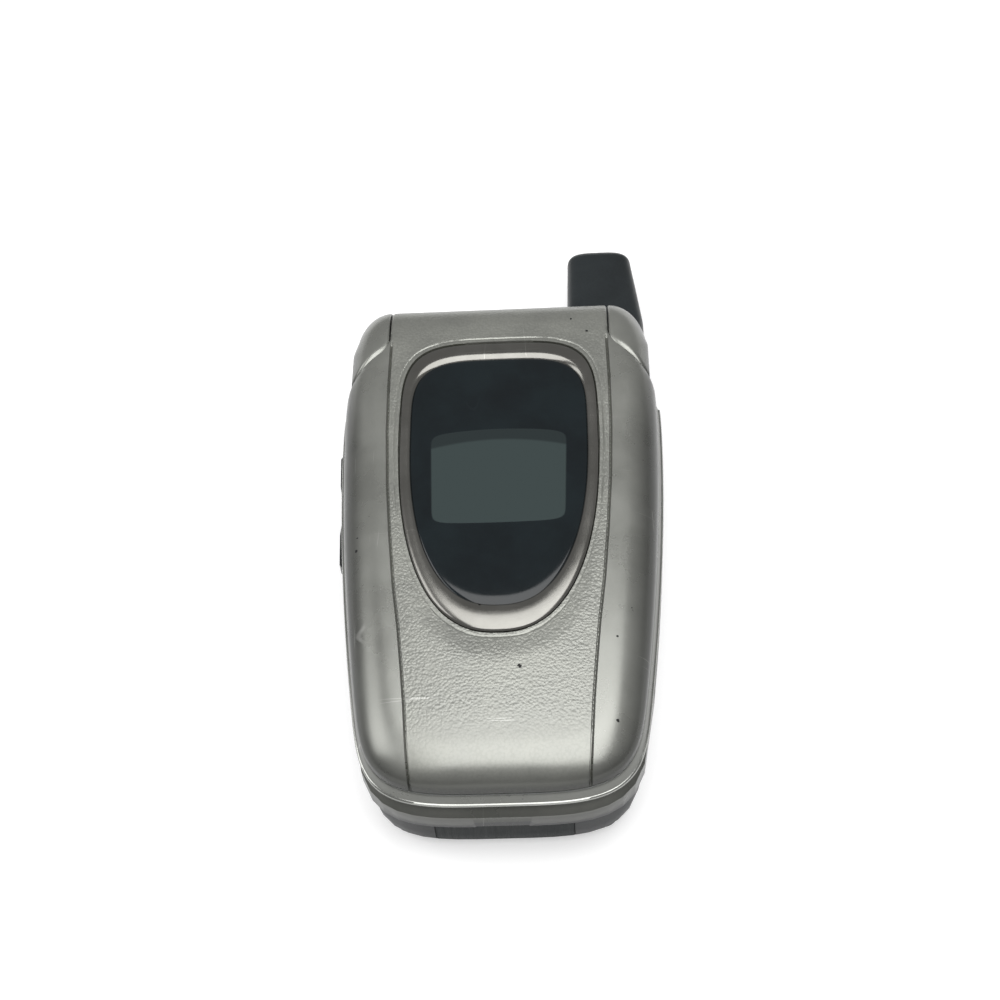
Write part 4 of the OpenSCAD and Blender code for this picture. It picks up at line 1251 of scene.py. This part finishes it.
    def plan(self) -> tuple[np.ndarray, Faces]:
        """Cuts the lid's plan into triangles along every line of its surface.

        Returns:
            Plan points and triangles.
        """
        lines = self.surface_lines()
        edges, at = [], 0
        for line in lines:
            edges += [(at + k, at + k + 1) for k in range(len(line) - 1)]
            at += len(line)
        points = [Vector(p) for line in (*lines, self.grid()) for p in line]
        verts, _, tris = delaunay_2d_cdt(points, edges, [], 0, 1e-4)[:3]
        flat, tri = np.array([tuple(v) for v in verts]), np.array([list(t) for t in tris])
        mid = flat[tri].mean(axis=1)
        keep = within(mid, self.outline()) & ~within(mid, self.rim.ring(self.moat[0]))
        return flat, [list(t) for t in tri[keep]]

    def from_rear(self, x: np.ndarray, y: np.ndarray) -> np.ndarray:
        """Measures how far points lie from the wings' rear edges.

        Args:
            x: The points' x.
            y: The points' y.

        Returns:
            The distance of each.
        """
        rear = np.concatenate([self.rear_line(), self.rear_line() * (-1, 1)])
        near = np.full(len(x), 9.0)
        for a, b in zip(rear[:-1], rear[1:]):
            run = b - a
            if np.hypot(*run) > 12:
                continue
            t = np.clip(((x - a[0]) * run[0] + (y - a[1]) * run[1])
                        / max(1e-9, float(np.dot(run, run))), 0, 1)
            near = np.minimum(near, np.hypot(x - a[0] - t * run[0], y - a[1] - t * run[1]))
        return near

    def carve(self, x: np.ndarray, y: np.ndarray) -> np.ndarray:
        """Measures how deep the surface lies below its plain form.

        Args:
            x: The points' x.
            y: The points' y.

        Returns:
            The depth at each: seams, gap round the rim, crease, dish and rolled rear edge.
        """
        off = np.abs(np.abs(x) - self.seam(y))
        wall = self.seam_foot - self.seam_half
        depth = self.seam_depth * np.clip((self.seam_foot - off) / wall, 0, 1)
        depth *= np.clip(self.seam_end - y, 0, 1)
        away = self.rim.beyond(x, y)
        depth += self.gap_deep * (away < self.gap_wide - 0.005)
        depth += self.crease_deep * np.clip(1 - np.abs(away - self.crease_at) / self.crease_half,
                                            0, 1)
        low = np.clip((self.dish_from - y) / self.dish_run, 0, 1)
        share = np.clip(away / (self.dish_wide[0] + self.dish_wide[1] * low), 0, 1)
        depth += self.dish_deep * low * (1 - share * share * (3 - 2 * share))
        zone = self.shoulder(x, y)
        near = self.from_rear(x[zone], y[zone])
        depth[zone] += self.edge_roll * np.clip(1 - near / self.roll_wide, 0, 1) ** 2
        return depth

    def wall_steps(self, at: Sequence[float], out: Sequence[float], inset: float) -> list[Point]:
        """Takes one point of the top's edge down in three steps.

        Args:
            at: The point.
            out: Direction out of the outline there.
            inset: How far it lies inside the outline.

        Returns:
            Three points: into the moat, round the lid's edge, or down the barrel's space.
        """
        f = self.form
        (x, y, z), (ox, oy), foot = at, out, f.split_z + self.lip
        if self.rim.beyond(x, y) < 0.5:
            return [(x, y, z - drop) for drop in (0.4, 0.9, 1.4)]
        if inset < 0.05:
            return [(x, y, f.split_z + 0.2)] + [(x - ox * s, y - oy * s, foot) for s in (0.2, 1.4)]
        steps = []
        for share in (0.12, 0.5, 1.0):
            zz = z + (foot - z) * share
            reach = float(f.knuckle_reach(abs(x)))
            yy = f.hinge_y - math.sqrt(max(0.1, reach ** 2 - (zz - f.hinge_z) ** 2))
            steps.append((x, yy if abs(x) > f.barrel_half + self.lip else y, zz))
        return steps

    def walls(self, points: np.ndarray, tris: Faces,
              flat: np.ndarray) -> tuple[np.ndarray, Faces]:
        """Takes the open edges of the top down to the lid's lower edge.

        Args:
            points: Vertices of the top.
            tris: Its triangles.
            flat: Plan places of its vertices.

        Returns:
            All points and all faces.
        """
        f = self.form
        rim: dict[tuple[int, int], tuple[int, int]] = {}
        for t in tris:
            for a, b in zip(t, t[1:] + t[:1]):
                key = (min(a, b), max(a, b))
                if rim.pop(key, None) is None:
                    rim[key] = (a, b)
        used = sorted({v for edge in rim.values() for v in edge})
        x, y = flat[used].T
        chains: dict[int, list[int]] = {}
        extra: list[Point] = []
        for v, px, py, out, inset in zip(used, x, y, f.outward(x, y), f.inset(x, y)):
            if abs(py - f.hinge_y) < 1e-3 and abs(px) < f.barrel_half + self.lip:
                continue
            chains[v] = [v] + [len(points) + len(extra) + k for k in range(3)]
            extra += self.wall_steps((px, py, points[v][2]), out, inset)
        faces = [list(t) for t in tris]
        for a, b in rim.values():
            if a in chains and b in chains:
                ca, cb = chains[a], chains[b]
                faces += [[cb[k], ca[k], ca[k + 1], cb[k + 1]] for k in range(3)]
        return np.concatenate([points, np.array(extra)]), faces

    def barrel(self, stations: np.ndarray) -> tuple[list[Point], Faces]:
        """Builds the hinge barrel behind and below the lid, with rolled ends.

        Args:
            stations: Places along the hinge.

        Returns:
            Points and faces.
        """
        f = self.form
        angles = [math.radians(90 - 5 * k) for k in range(55)]
        points = []
        for x in stations:
            gap = f.barrel_half - abs(x)
            r = f.barrel_r - self.edge_roll * max(0.0, 1 - gap / self.roll_wide) ** 2
            swell = [r + self.barrel_skin * min(1.0, (math.pi / 2 - a) * 2) for a in angles]
            points += [(float(x), f.hinge_y + q * math.cos(a), f.hinge_z + q * math.sin(a))
                       for q, a in zip(swell, angles)]
        n, last = len(angles), len(points) - len(angles)
        faces = [[k + i, k + n + i, k + n + i + 1, k + i + 1]
                 for k in range(0, last, n) for i in range(n - 1)]
        return points, faces + [list(range(n)), [last + i for i in range(n)][::-1]]

    def build(self) -> bpy.types.Object:
        """Builds the shell and its barrel.

        Returns:
            The new object.
        """
        f = self.form
        flat, tris = self.plan()
        x, y = flat.T
        lean = np.where(self.shoulder(x, y)[:, None], (0.0, 0.0, 1.0), f.normal(x, y))
        top = np.stack([x, y, f.surface(x, y)], axis=1) - lean * self.carve(x, y)[:, None]
        points, faces = self.walls(top, tris, flat)
        on_crest = x[np.abs(y - f.hinge_y) < 1e-3]
        stations = np.concatenate([on_crest, [-f.barrel_half, f.barrel_half]])
        more, extra = self.barrel(np.unique(np.round(stations, 5)))
        faces += [[len(points) + i for i in face] for face in extra]
        return Piece("lid_shell", Body.LID.value, "silver_paint", ("lid_outer_cover",)).make(
            points.tolist() + more, faces, (SILVER_WING, SILVER_BAND, GROOVE_DARK), 38.0,
            self.finish_at)

    def finish_at(self, spot: Vector) -> int:
        """Chooses the finish of a face.

        Args:
            spot: The face's centre.

        Returns:
            0 for a wing, 1 for the centre band, 2 for a groove.
        """
        on_crest = spot.y > self.crest
        end = on_crest and abs(spot.x) > self.form.barrel_half - self.lip
        if spot.z < self.form.split_z + 0.05 or end:
            return 2
        off = abs(spot.x) - float(self.seam(spot.y))
        if spot.y < self.groove_end and abs(off) < self.seam_half * 0.8:
            return 2
        if self.rim.beyond(spot.x, spot.y) < self.gap_wide:
            return 2
        return 1 if off < 0 or on_crest else 0


@dataclass
class Window:
    """The polished rim round the window and its dark pane."""

    form: Form = FORM
    lens: Egg = LENS
    rim: Egg = RIM
    count: int = 260
    profile: tuple[tuple[float, float], ...] = (
        (-0.03, -1.2), (-0.03, -0.3), (0.0, -0.16), (0.07, -0.02), (0.17, 0.14), (0.24, 0.21),
        (0.32, 0.235), (0.5, 0.22), (0.7, 0.17), (0.84, 0.1), (0.93, 0.0), (0.98, -0.14),
        (1.0, -0.34), (1.0, -1.2))
    pane_edge: tuple[tuple[float, float], ...] = ((1.0, 1.3), (1.0, 0.3), (0.994, 0.2),
                                                  (0.98, 0.15))
    pane_drop: float = 0.12
    pane_step: float = 0.055

    def on_lid(self, plan: np.ndarray, lift: float) -> list[Point]:
        """Gives points in plan a height above the lid's crown."""
        return lifted(plan, self.form.top(plan[:, 0], plan[:, 1]) + lift)

    def build(self) -> None:
        """Builds the rim and the pane."""
        inner, outer = self.lens.line(self.count), self.rim.line(self.count)
        rings = [self.on_lid(inner + (outer - inner) * share, lift)
                 for share, lift in self.profile]
        Piece("window_rim", Body.LID.value, "bezel_metal", ("window_bezel",)).make(
            *loft(rings, capped=False), (BEZEL,))
        centre = np.array((0, self.lens.mid))
        field = [(1 - self.pane_step * k, self.pane_drop) for k in range(1, 18)]
        rings = [self.on_lid((inner - centre) * share + centre, 0.1 * (1 - share) - drop)
                 for share, drop in (*self.pane_edge, *field)]
        Piece("window_pane", Body.LID.value, "window_glass", ("window_lens",)).make(
            *loft(rings), (PANE,))


@dataclass
class StubAntenna:
    """The fixed stub: straight inner side, slanted outer side, rounded end."""

    x: float = 10.2
    w: float = 12.8
    end_w: float = 11.0
    t: float = 7.7
    z: float = 5.1
    y0: float = 42.3
    length: float = 24.4
    round_r: float = 2.3
    power: float = 3.6

    def section(self, y: float) -> list[Point]:
        """Draws one ring of the stub.

        Args:
            y: Where it stands.

        Returns:
            Its points.
        """
        y1, half = self.y0 + self.length, self.t / 2
        inner = self.x + 0.5 * min(1.0, (y - self.y0) / (self.length - 3))
        outer = self.x + float(np.interp(y, [self.y0 + 8, y1], [self.w, self.end_w]))
        taper = [self.y0, y1 - 2, y1]
        top = float(np.interp(y, taper, [half, half - 0.5, half - 0.9]))
        low = float(np.interp(y, taper, [-half, 0.4 - half, 0.7 - half]))
        near = max(0.0, y - (y1 - self.round_r)) / self.round_r
        pull = self.round_r * (1 - math.sqrt(max(0.0, 1 - near ** 2)))
        ring = superellipse((outer - inner) / 2 - pull, (top - low) / 2 - 0.75 * pull,
                            self.power, 72)
        mid_x, mid_z = (outer + inner) / 2, self.z + (top + low) / 2
        return [(mid_x + a, y, mid_z + b) for a, b in ring.tolist()]

    def build(self) -> None:
        """Builds the stub."""
        y1 = self.y0 + self.length
        ys = list(np.linspace(self.y0, y1 - self.round_r, 24))
        ys += [y1 - self.round_r * (1 - math.sin(math.radians(a))) for a in range(8, 88, 8)]
        rings = [self.section(y) for y in (*ys, y1 - 0.001)]
        Piece("antenna_stub", Body.BASE.value, "antenna_plastic", ("antenna_cover",)).make(
            *loft(rings), (FINISHES["antenna_plastic"],))


@dataclass(frozen=True)
class EarCaps:
    """Smooth painted skins over the base's two hinge knuckles."""

    form: Form = FORM
    skin: float = 0.07
    blend: float = 0.13
    end_x: float = 22.95
    fullness: float = 2.1
    low_z: float = 8.03
    over_from: float = 60.0
    over_run: float = 55.0
    rear_from: float = 120.0
    inner_end: tuple[tuple[float, float], ...] = ((16.91, 0.3), (16.93, 0.18), (16.98, 0.09),
                                                  (17.06, 0.03), (17.18, 0.0))
    outer_end: tuple[tuple[float, float], ...] = ((22.84, 0.985), (22.88, 0.95), (22.91, 0.88))

    def radius(self, x: float, a: np.ndarray) -> np.ndarray:
        """Gives the radius of a knuckle.

        Args:
            x: Place along the hinge.
            a: Angles from the front, up and over, in degrees.

        Returns:
            The radius at each angle.
        """
        f = self.form
        front = float(f.knuckle_reach(x)) - f.swing_gap
        far = max(0.0, x - f.barrel_half) / (self.end_x - f.barrel_half)
        rear = f.barrel_r * math.sqrt(max(0.0, 1 - far ** self.fullness))
        y = f.hinge_y - f.barrel_r / 2
        inset = float(f.side_w(y)) - x
        high = f.side_z + (float(f.top(x, y)) - f.side_z) * float(f.rise(inset)) - f.hinge_z
        w = np.clip((a - self.over_from) / self.over_run, 0, 1)
        w = w * w * (3 - 2 * w)
        level = (1 - w) * high / np.maximum(0.05, np.sin(np.radians(a))) + w * rear
        level = np.where(a <= 0, 99.0, np.where(a >= 178, rear, level))
        k = self.blend
        low = np.minimum(level, front)
        soft = low - k * np.log(np.exp(-(level - low) / k) + np.exp(-(front - low) / k))
        return np.where(a >= self.rear_from, rear, soft)

    def ring(self, side: int, x: float, shrink: float = 0.0, share: float = 1.0) -> list[Point]:
        """Draws one closed ring of a knuckle's skin.

        Args:
            side: 1 for the right knuckle, -1 for the left.
            x: Place along the hinge.
            shrink: How far the ring lies inside the skin.
            share: Extra scale of the radius.

        Returns:
            Points of the ring.
        """
        f = self.form
        a = np.concatenate([np.arange(-26, 30, 4), np.arange(30, 84, 1.5), np.arange(84, 250, 4)])
        r = (self.radius(x, a) + self.skin - shrink) * share
        y = f.hinge_y - r * np.cos(np.radians(a))
        z = np.maximum(self.low_z, f.hinge_z + r * np.sin(np.radians(a)))
        arc = [(side * x, p, q) for p, q in zip(y.tolist(), z.tolist())]
        return arc + [(side * x, f.hinge_y + 1.5, self.low_z + 0.02)]

    def build(self) -> None:
        """Builds both skins."""
        for side, name in ((1, "right"), (-1, "left")):
            rings = [self.ring(side, x, shrink) for x, shrink in self.inner_end]
            rings += [self.ring(side, float(x)) for x in np.linspace(17.4, 22.78, 26)]
            rings += [self.ring(side, x, share=share) for x, share in self.outer_end]
            Piece(f"ear_skin_{name}", Body.BASE.value, "silver_paint").make(
                *loft(rings), (SILVER_EAR,))


@dataclass(frozen=True)
class PullTab:
    """Small rubber tab of the connector cover that fills the notch of the front lip."""

    form: Form = FORM
    half_top: float = 3.5
    half_foot: float = 4.3
    low: float = 8.04
    high: float = 8.84

    def build(self) -> None:
        """Builds the tab, bowed with the front of the case."""
        f, low, high = self.form, self.low, self.high
        rings = []
        for share in np.linspace(-1, 1, 17).tolist():
            ring = []
            for z, push in ((low, 0.0), (low, 0.86), (low + 0.1, 0.92), (high - 0.12, 0.9),
                            (high, 0.8), (high, 0.0)):
                lean = (z - low) / (high - low)
                x = share * (self.half_foot + (self.half_top - self.half_foot) * lean)
                y = -f.front_c - (f.front_len - f.front_c) * (1 - (abs(x) / 18.2) ** 4) ** 0.2
                ring.append((x, y + 0.1 - push, z))
            rings.append(ring)
        Piece("cover_pull_tab", "cover_body", "cover_rubber").make(
            *loft(rings), (FINISHES["cover_rubber"],), 30.0)


@dataclass(frozen=True)
class LidTrim:
    """Silver band round the lid's lower rim, with the polished bead along its foot."""

    form: Form = FORM
    start_y: float = 24.6
    count: int = 300
    profile: tuple[tuple[float, float], ...] = (
        (0.9, 15.3), (0.12, 15.28), (0.0, 15.15), (-0.12, 14.8), (-0.3, 14.3), (-0.42, 13.95),
        (-0.46, 13.86), (-0.62, 13.8), (-0.72, 13.62), (-0.7, 13.38), (-0.55, 13.2),
        (-0.2, 13.12), (0.9, 13.1))
    bead: tuple[float, float] = (13.15, 13.83)

    def build(self) -> None:
        """Builds the band and its bead as one skin."""
        low, high = self.bead
        runs = [lifted(evenly(self.form.edge_line(inset, self.start_y), count=self.count), z)
                for inset, z in self.profile]
        Piece("lid_edge_trim", Body.LID.value, "silver_satin").make(
            *loft(list(zip(*runs))), (SILVER_RIM, TRIM), 40.0,
            lambda spot: int(low < spot.z < high))


# ---------------------------------------------------------------- key marks


@dataclass(frozen=True)
class KeyMarks:
    """Figures of the dial keys, the clear key's letter, four arrows and two coloured bars."""

    size: float = 3.4
    clear_size: float = 2.6
    z: float = 12.46
    pitch_x: float = 11.2
    pitch_y: float = 6.6
    first_y: float = -12.5
    clear_y: float = -4.6
    nav_y: float = 7.0
    bar_y: float = -3.2
    bar_x: float = 11.6
    figures: str = "123456789*0#"
    spoken: tuple[tuple[str, str], ...] = (("*", "star"), ("#", "hash"))

    def mark(self, key: str, text: str, spot: Point, size: float) -> None:
        """Puts one printed figure on a key.

        Args:
            key: Name of the key.
            text: What is printed.
            spot: Middle of the figure in millimetres.
            size: Height of the letters in millimetres.
        """
        name = f"{key}_figure"
        curve = bpy.data.curves.new(name, "FONT")
        curve.body = text
        curve.size = size * MM
        curve.extrude = 0.02 * MM
        curve.align_x = curve.align_y = "CENTER"
        curve.materials.append(INK.material())
        obj = add_object(name, curve)
        obj.location = Vector(spot) * MM
        Piece(name, f"{key}_body", "black_plastic").tell(obj)

    def build(self) -> None:
        """Puts every mark on its key."""
        spoken = dict(self.spoken)
        for k, text in enumerate(self.figures):
            spot = ((k % 3 - 1) * self.pitch_x, self.first_y - (k // 3) * self.pitch_y, self.z)
            self.mark(f"key_{spoken.get(text, text)}", text, spot, self.size)
        self.mark("clear_key", "C", (0, self.clear_y, self.z), self.clear_size)
        self.arrows()
        self.bar("send_key", -self.bar_x, SEND_MARK)
        self.bar("end_key", self.bar_x, END_MARK)

    def arrows(self) -> None:
        """Puts four small arrowheads round the navigation ring."""
        points: list[Point] = []
        faces: Faces = []
        for quarter in range(4):
            c, s = math.cos(quarter * math.pi / 2), math.sin(quarter * math.pi / 2)
            start = len(points)
            for lift in (-0.02, 0.03):
                for u, v in ((-0.75, 4.75), (0.75, 4.75), (0.0, 5.65)):
                    points.append((u * c - v * s, self.nav_y + u * s + v * c, self.z + lift))
            faces += [[start + i for i in f] for f in
                      ((2, 1, 0), (3, 4, 5), (0, 1, 4, 3), (1, 2, 5, 4), (2, 0, 3, 5))]
        Piece("nav_arrows", "nav_key_body", "black_plastic").make(points, faces, (INK,), 20.0)

    def bar(self, key: str, x: float, finish: Finish) -> None:
        """Puts a coloured, slightly raised bar on a call key.

        Args:
            key: Name of the key.
            x: Middle of the bar.
            finish: Its colour.
        """
        rings = [lifted(superellipse(1.9 + grow, 0.5 + grow, 5.0, 48) + (x, self.bar_y),
                        self.z + lift)
                 for grow, lift in ((0.0, -0.05), (0.0, 0.02), (-0.05, 0.05))]
        Piece(f"{key}_bar", f"{key}_body", "function_plastic").make(
            *loft(rings), (finish,), 30.0)


# ---------------------------------------------------------------- carried-over nodes


@dataclass(frozen=True)
class CarriedNodes:
    """CAD nodes whose shape is right: smoothed for shading and given their finish."""

    split_deg: float = 33.0
    weld: float = 0.012

    def build(self) -> None:
        """Dresses every CAD node by its material slot."""
        slots = {p["node"]: p["material_slot"] for p in frame["record"]["subparts"]}
        for name, obj in frame["nodes"].items():
            obj.data.materials.clear()
            obj.data.materials.append(FINISHES[slots[name]].material())
            for poly in obj.data.polygons:
                poly.use_smooth = True
            weld = obj.modifiers.new("weld", "WELD")
            weld.merge_threshold = self.weld * MM
            split = obj.modifiers.new("edge_split", "EDGE_SPLIT")
            split.split_angle = math.radians(self.split_deg)
        LOG.info("dressed %d carried nodes", len(slots))


# ---------------------------------------------------------------- studio


@dataclass(frozen=True)
class Studio:
    """Camera, floor, plain surround and lamps."""

    turn: float = 4.36
    tilt: float = 51.59
    roll: float = -5.4
    reach: float = 0.2701
    aim: Point = (-0.00038, 0.00946, 0.012)
    lens: float = 64.8
    sensor: float = 36.0
    sky: float = 0.37
    floor_tone: float = 0.58
    floor_lift: float = 0.5
    floor_half: float = 3.0
    floor_drop: float = 0.0001

    def camera(self) -> None:
        """Places the camera at the photograph's angle."""
        a, e, r = (math.radians(v) for v in (self.turn, self.tilt, self.roll))
        back = Vector((math.sin(a) * math.cos(e), -math.cos(a) * math.cos(e), math.sin(e)))
        right = Vector((math.cos(a), math.sin(a), 0))
        up = back.cross(right)
        across = math.cos(r) * right + math.sin(r) * up
        upward = -math.sin(r) * right + math.cos(r) * up
        place = Matrix((across, upward, back)).transposed().to_4x4()
        place.translation = Vector(self.aim) + back * self.reach
        data = bpy.data.cameras.new("view")
        data.sensor_width = self.sensor
        data.lens = self.lens
        data.clip_start = 0.01
        cam = add_object("view", data)
        cam.matrix_world = place
        bpy.context.scene.camera = cam

    def world(self) -> None:
        """Gives a plain grey surround."""
        world = bpy.data.worlds.new("surround")
        bpy.context.scene.world = world
        world.use_nodes = True
        shade = world.node_tree.nodes["Background"]
        shade.inputs["Color"].default_value = (1, 1, 1, 1)
        shade.inputs["Strength"].default_value = self.sky

    def paper(self) -> bpy.types.Material:
        """Makes the floor's paper, which shows lighter to the eye than its shadows are.

        Returns:
            The material.
        """
        d = Dresser("floor_paper")
        grain = d.group("SurfaceGrain", Cloud=30.0, Fleck=0.4)
        level = self.floor_tone
        d.join(d.mix(grain.outputs["Tint"], (level,) * 3, (level * 0.99,) * 3), "Base Color")
        d.feed(d.shader.inputs["Roughness"], 0.9)
        d.feed(d.shader.inputs["Specular IOR Level"], 0.1)
        path, glow, both = (d.add(kind) for kind in ("LightPath", "Emission", "AddShader"))
        seen = path.outputs["Is Camera Ray"]
        for kind in ("Is Glossy Ray", "Is Transmission Ray"):
            seen = d.math("MAXIMUM", seen, path.outputs[kind])
        d.feed(glow.inputs["Strength"], d.times(seen, self.floor_lift))
        d.feed(both.inputs[0], d.shader.outputs[0])
        d.feed(both.inputs[1], glow.outputs[0])
        d.feed(d.tree.nodes["Material Output"].inputs["Surface"], both.outputs[0])
        return d.mat

    def floor(self) -> None:
        """Lays a pale floor just below the phone."""
        mesh = bpy.data.meshes.new("floor")
        w, z = self.floor_half, CAD_BOX[0][2] - self.floor_drop
        mesh.from_pydata([(-w, -w, z), (w, -w, z), (w, w, z), (-w, w, z)], [], [(0, 1, 2, 3)])
        mesh.materials.append(self.paper())
        add_object("floor", mesh)

    def lamp(self, name: str, place: Point, at: Point, size: float, watts: float) -> None:
        """Adds one soft square lamp.

        Args:
            name: Its name.
            place: Where it hangs, in metres.
            at: The point that it looks at.
            size: Its side, in metres.
            watts: Its power.
        """
        data = bpy.data.lights.new(name, "AREA")
        data.energy = watts
        data.size = size
        obj = add_object(name, data)
        obj.location = place
        obj.rotation_euler = (Vector(at) - Vector(place)).to_track_quat("-Z", "Y").to_euler()

    def build(self) -> None:
        """Builds camera, surround, floor and lamps."""
        self.camera()
        self.world()
        self.floor()
        self.lamp("overhead", (0.036, -0.033, 0.27), (0.018, -0.033, 0.0), 0.28, 1.0)
        self.lamp("side_fill", (-0.6, 0.1, 0.5), (0, 0, 0.01), 0.4, 1.6)
        bpy.context.scene.view_settings.view_transform = "Standard"
        LOG.info("studio ready")


def main() -> None:
    """Builds the studio and every sub-assembly in order."""
    logging.basicConfig(level=logging.INFO, format="%(message)s")
    for part in (Studio(), CarriedNodes(), LidShell(), Window(), EarCaps(), LidTrim(), PullTab(),
                 StubAntenna(), KeyMarks()):
        part.build()


if __name__ == "__main__":
    main()
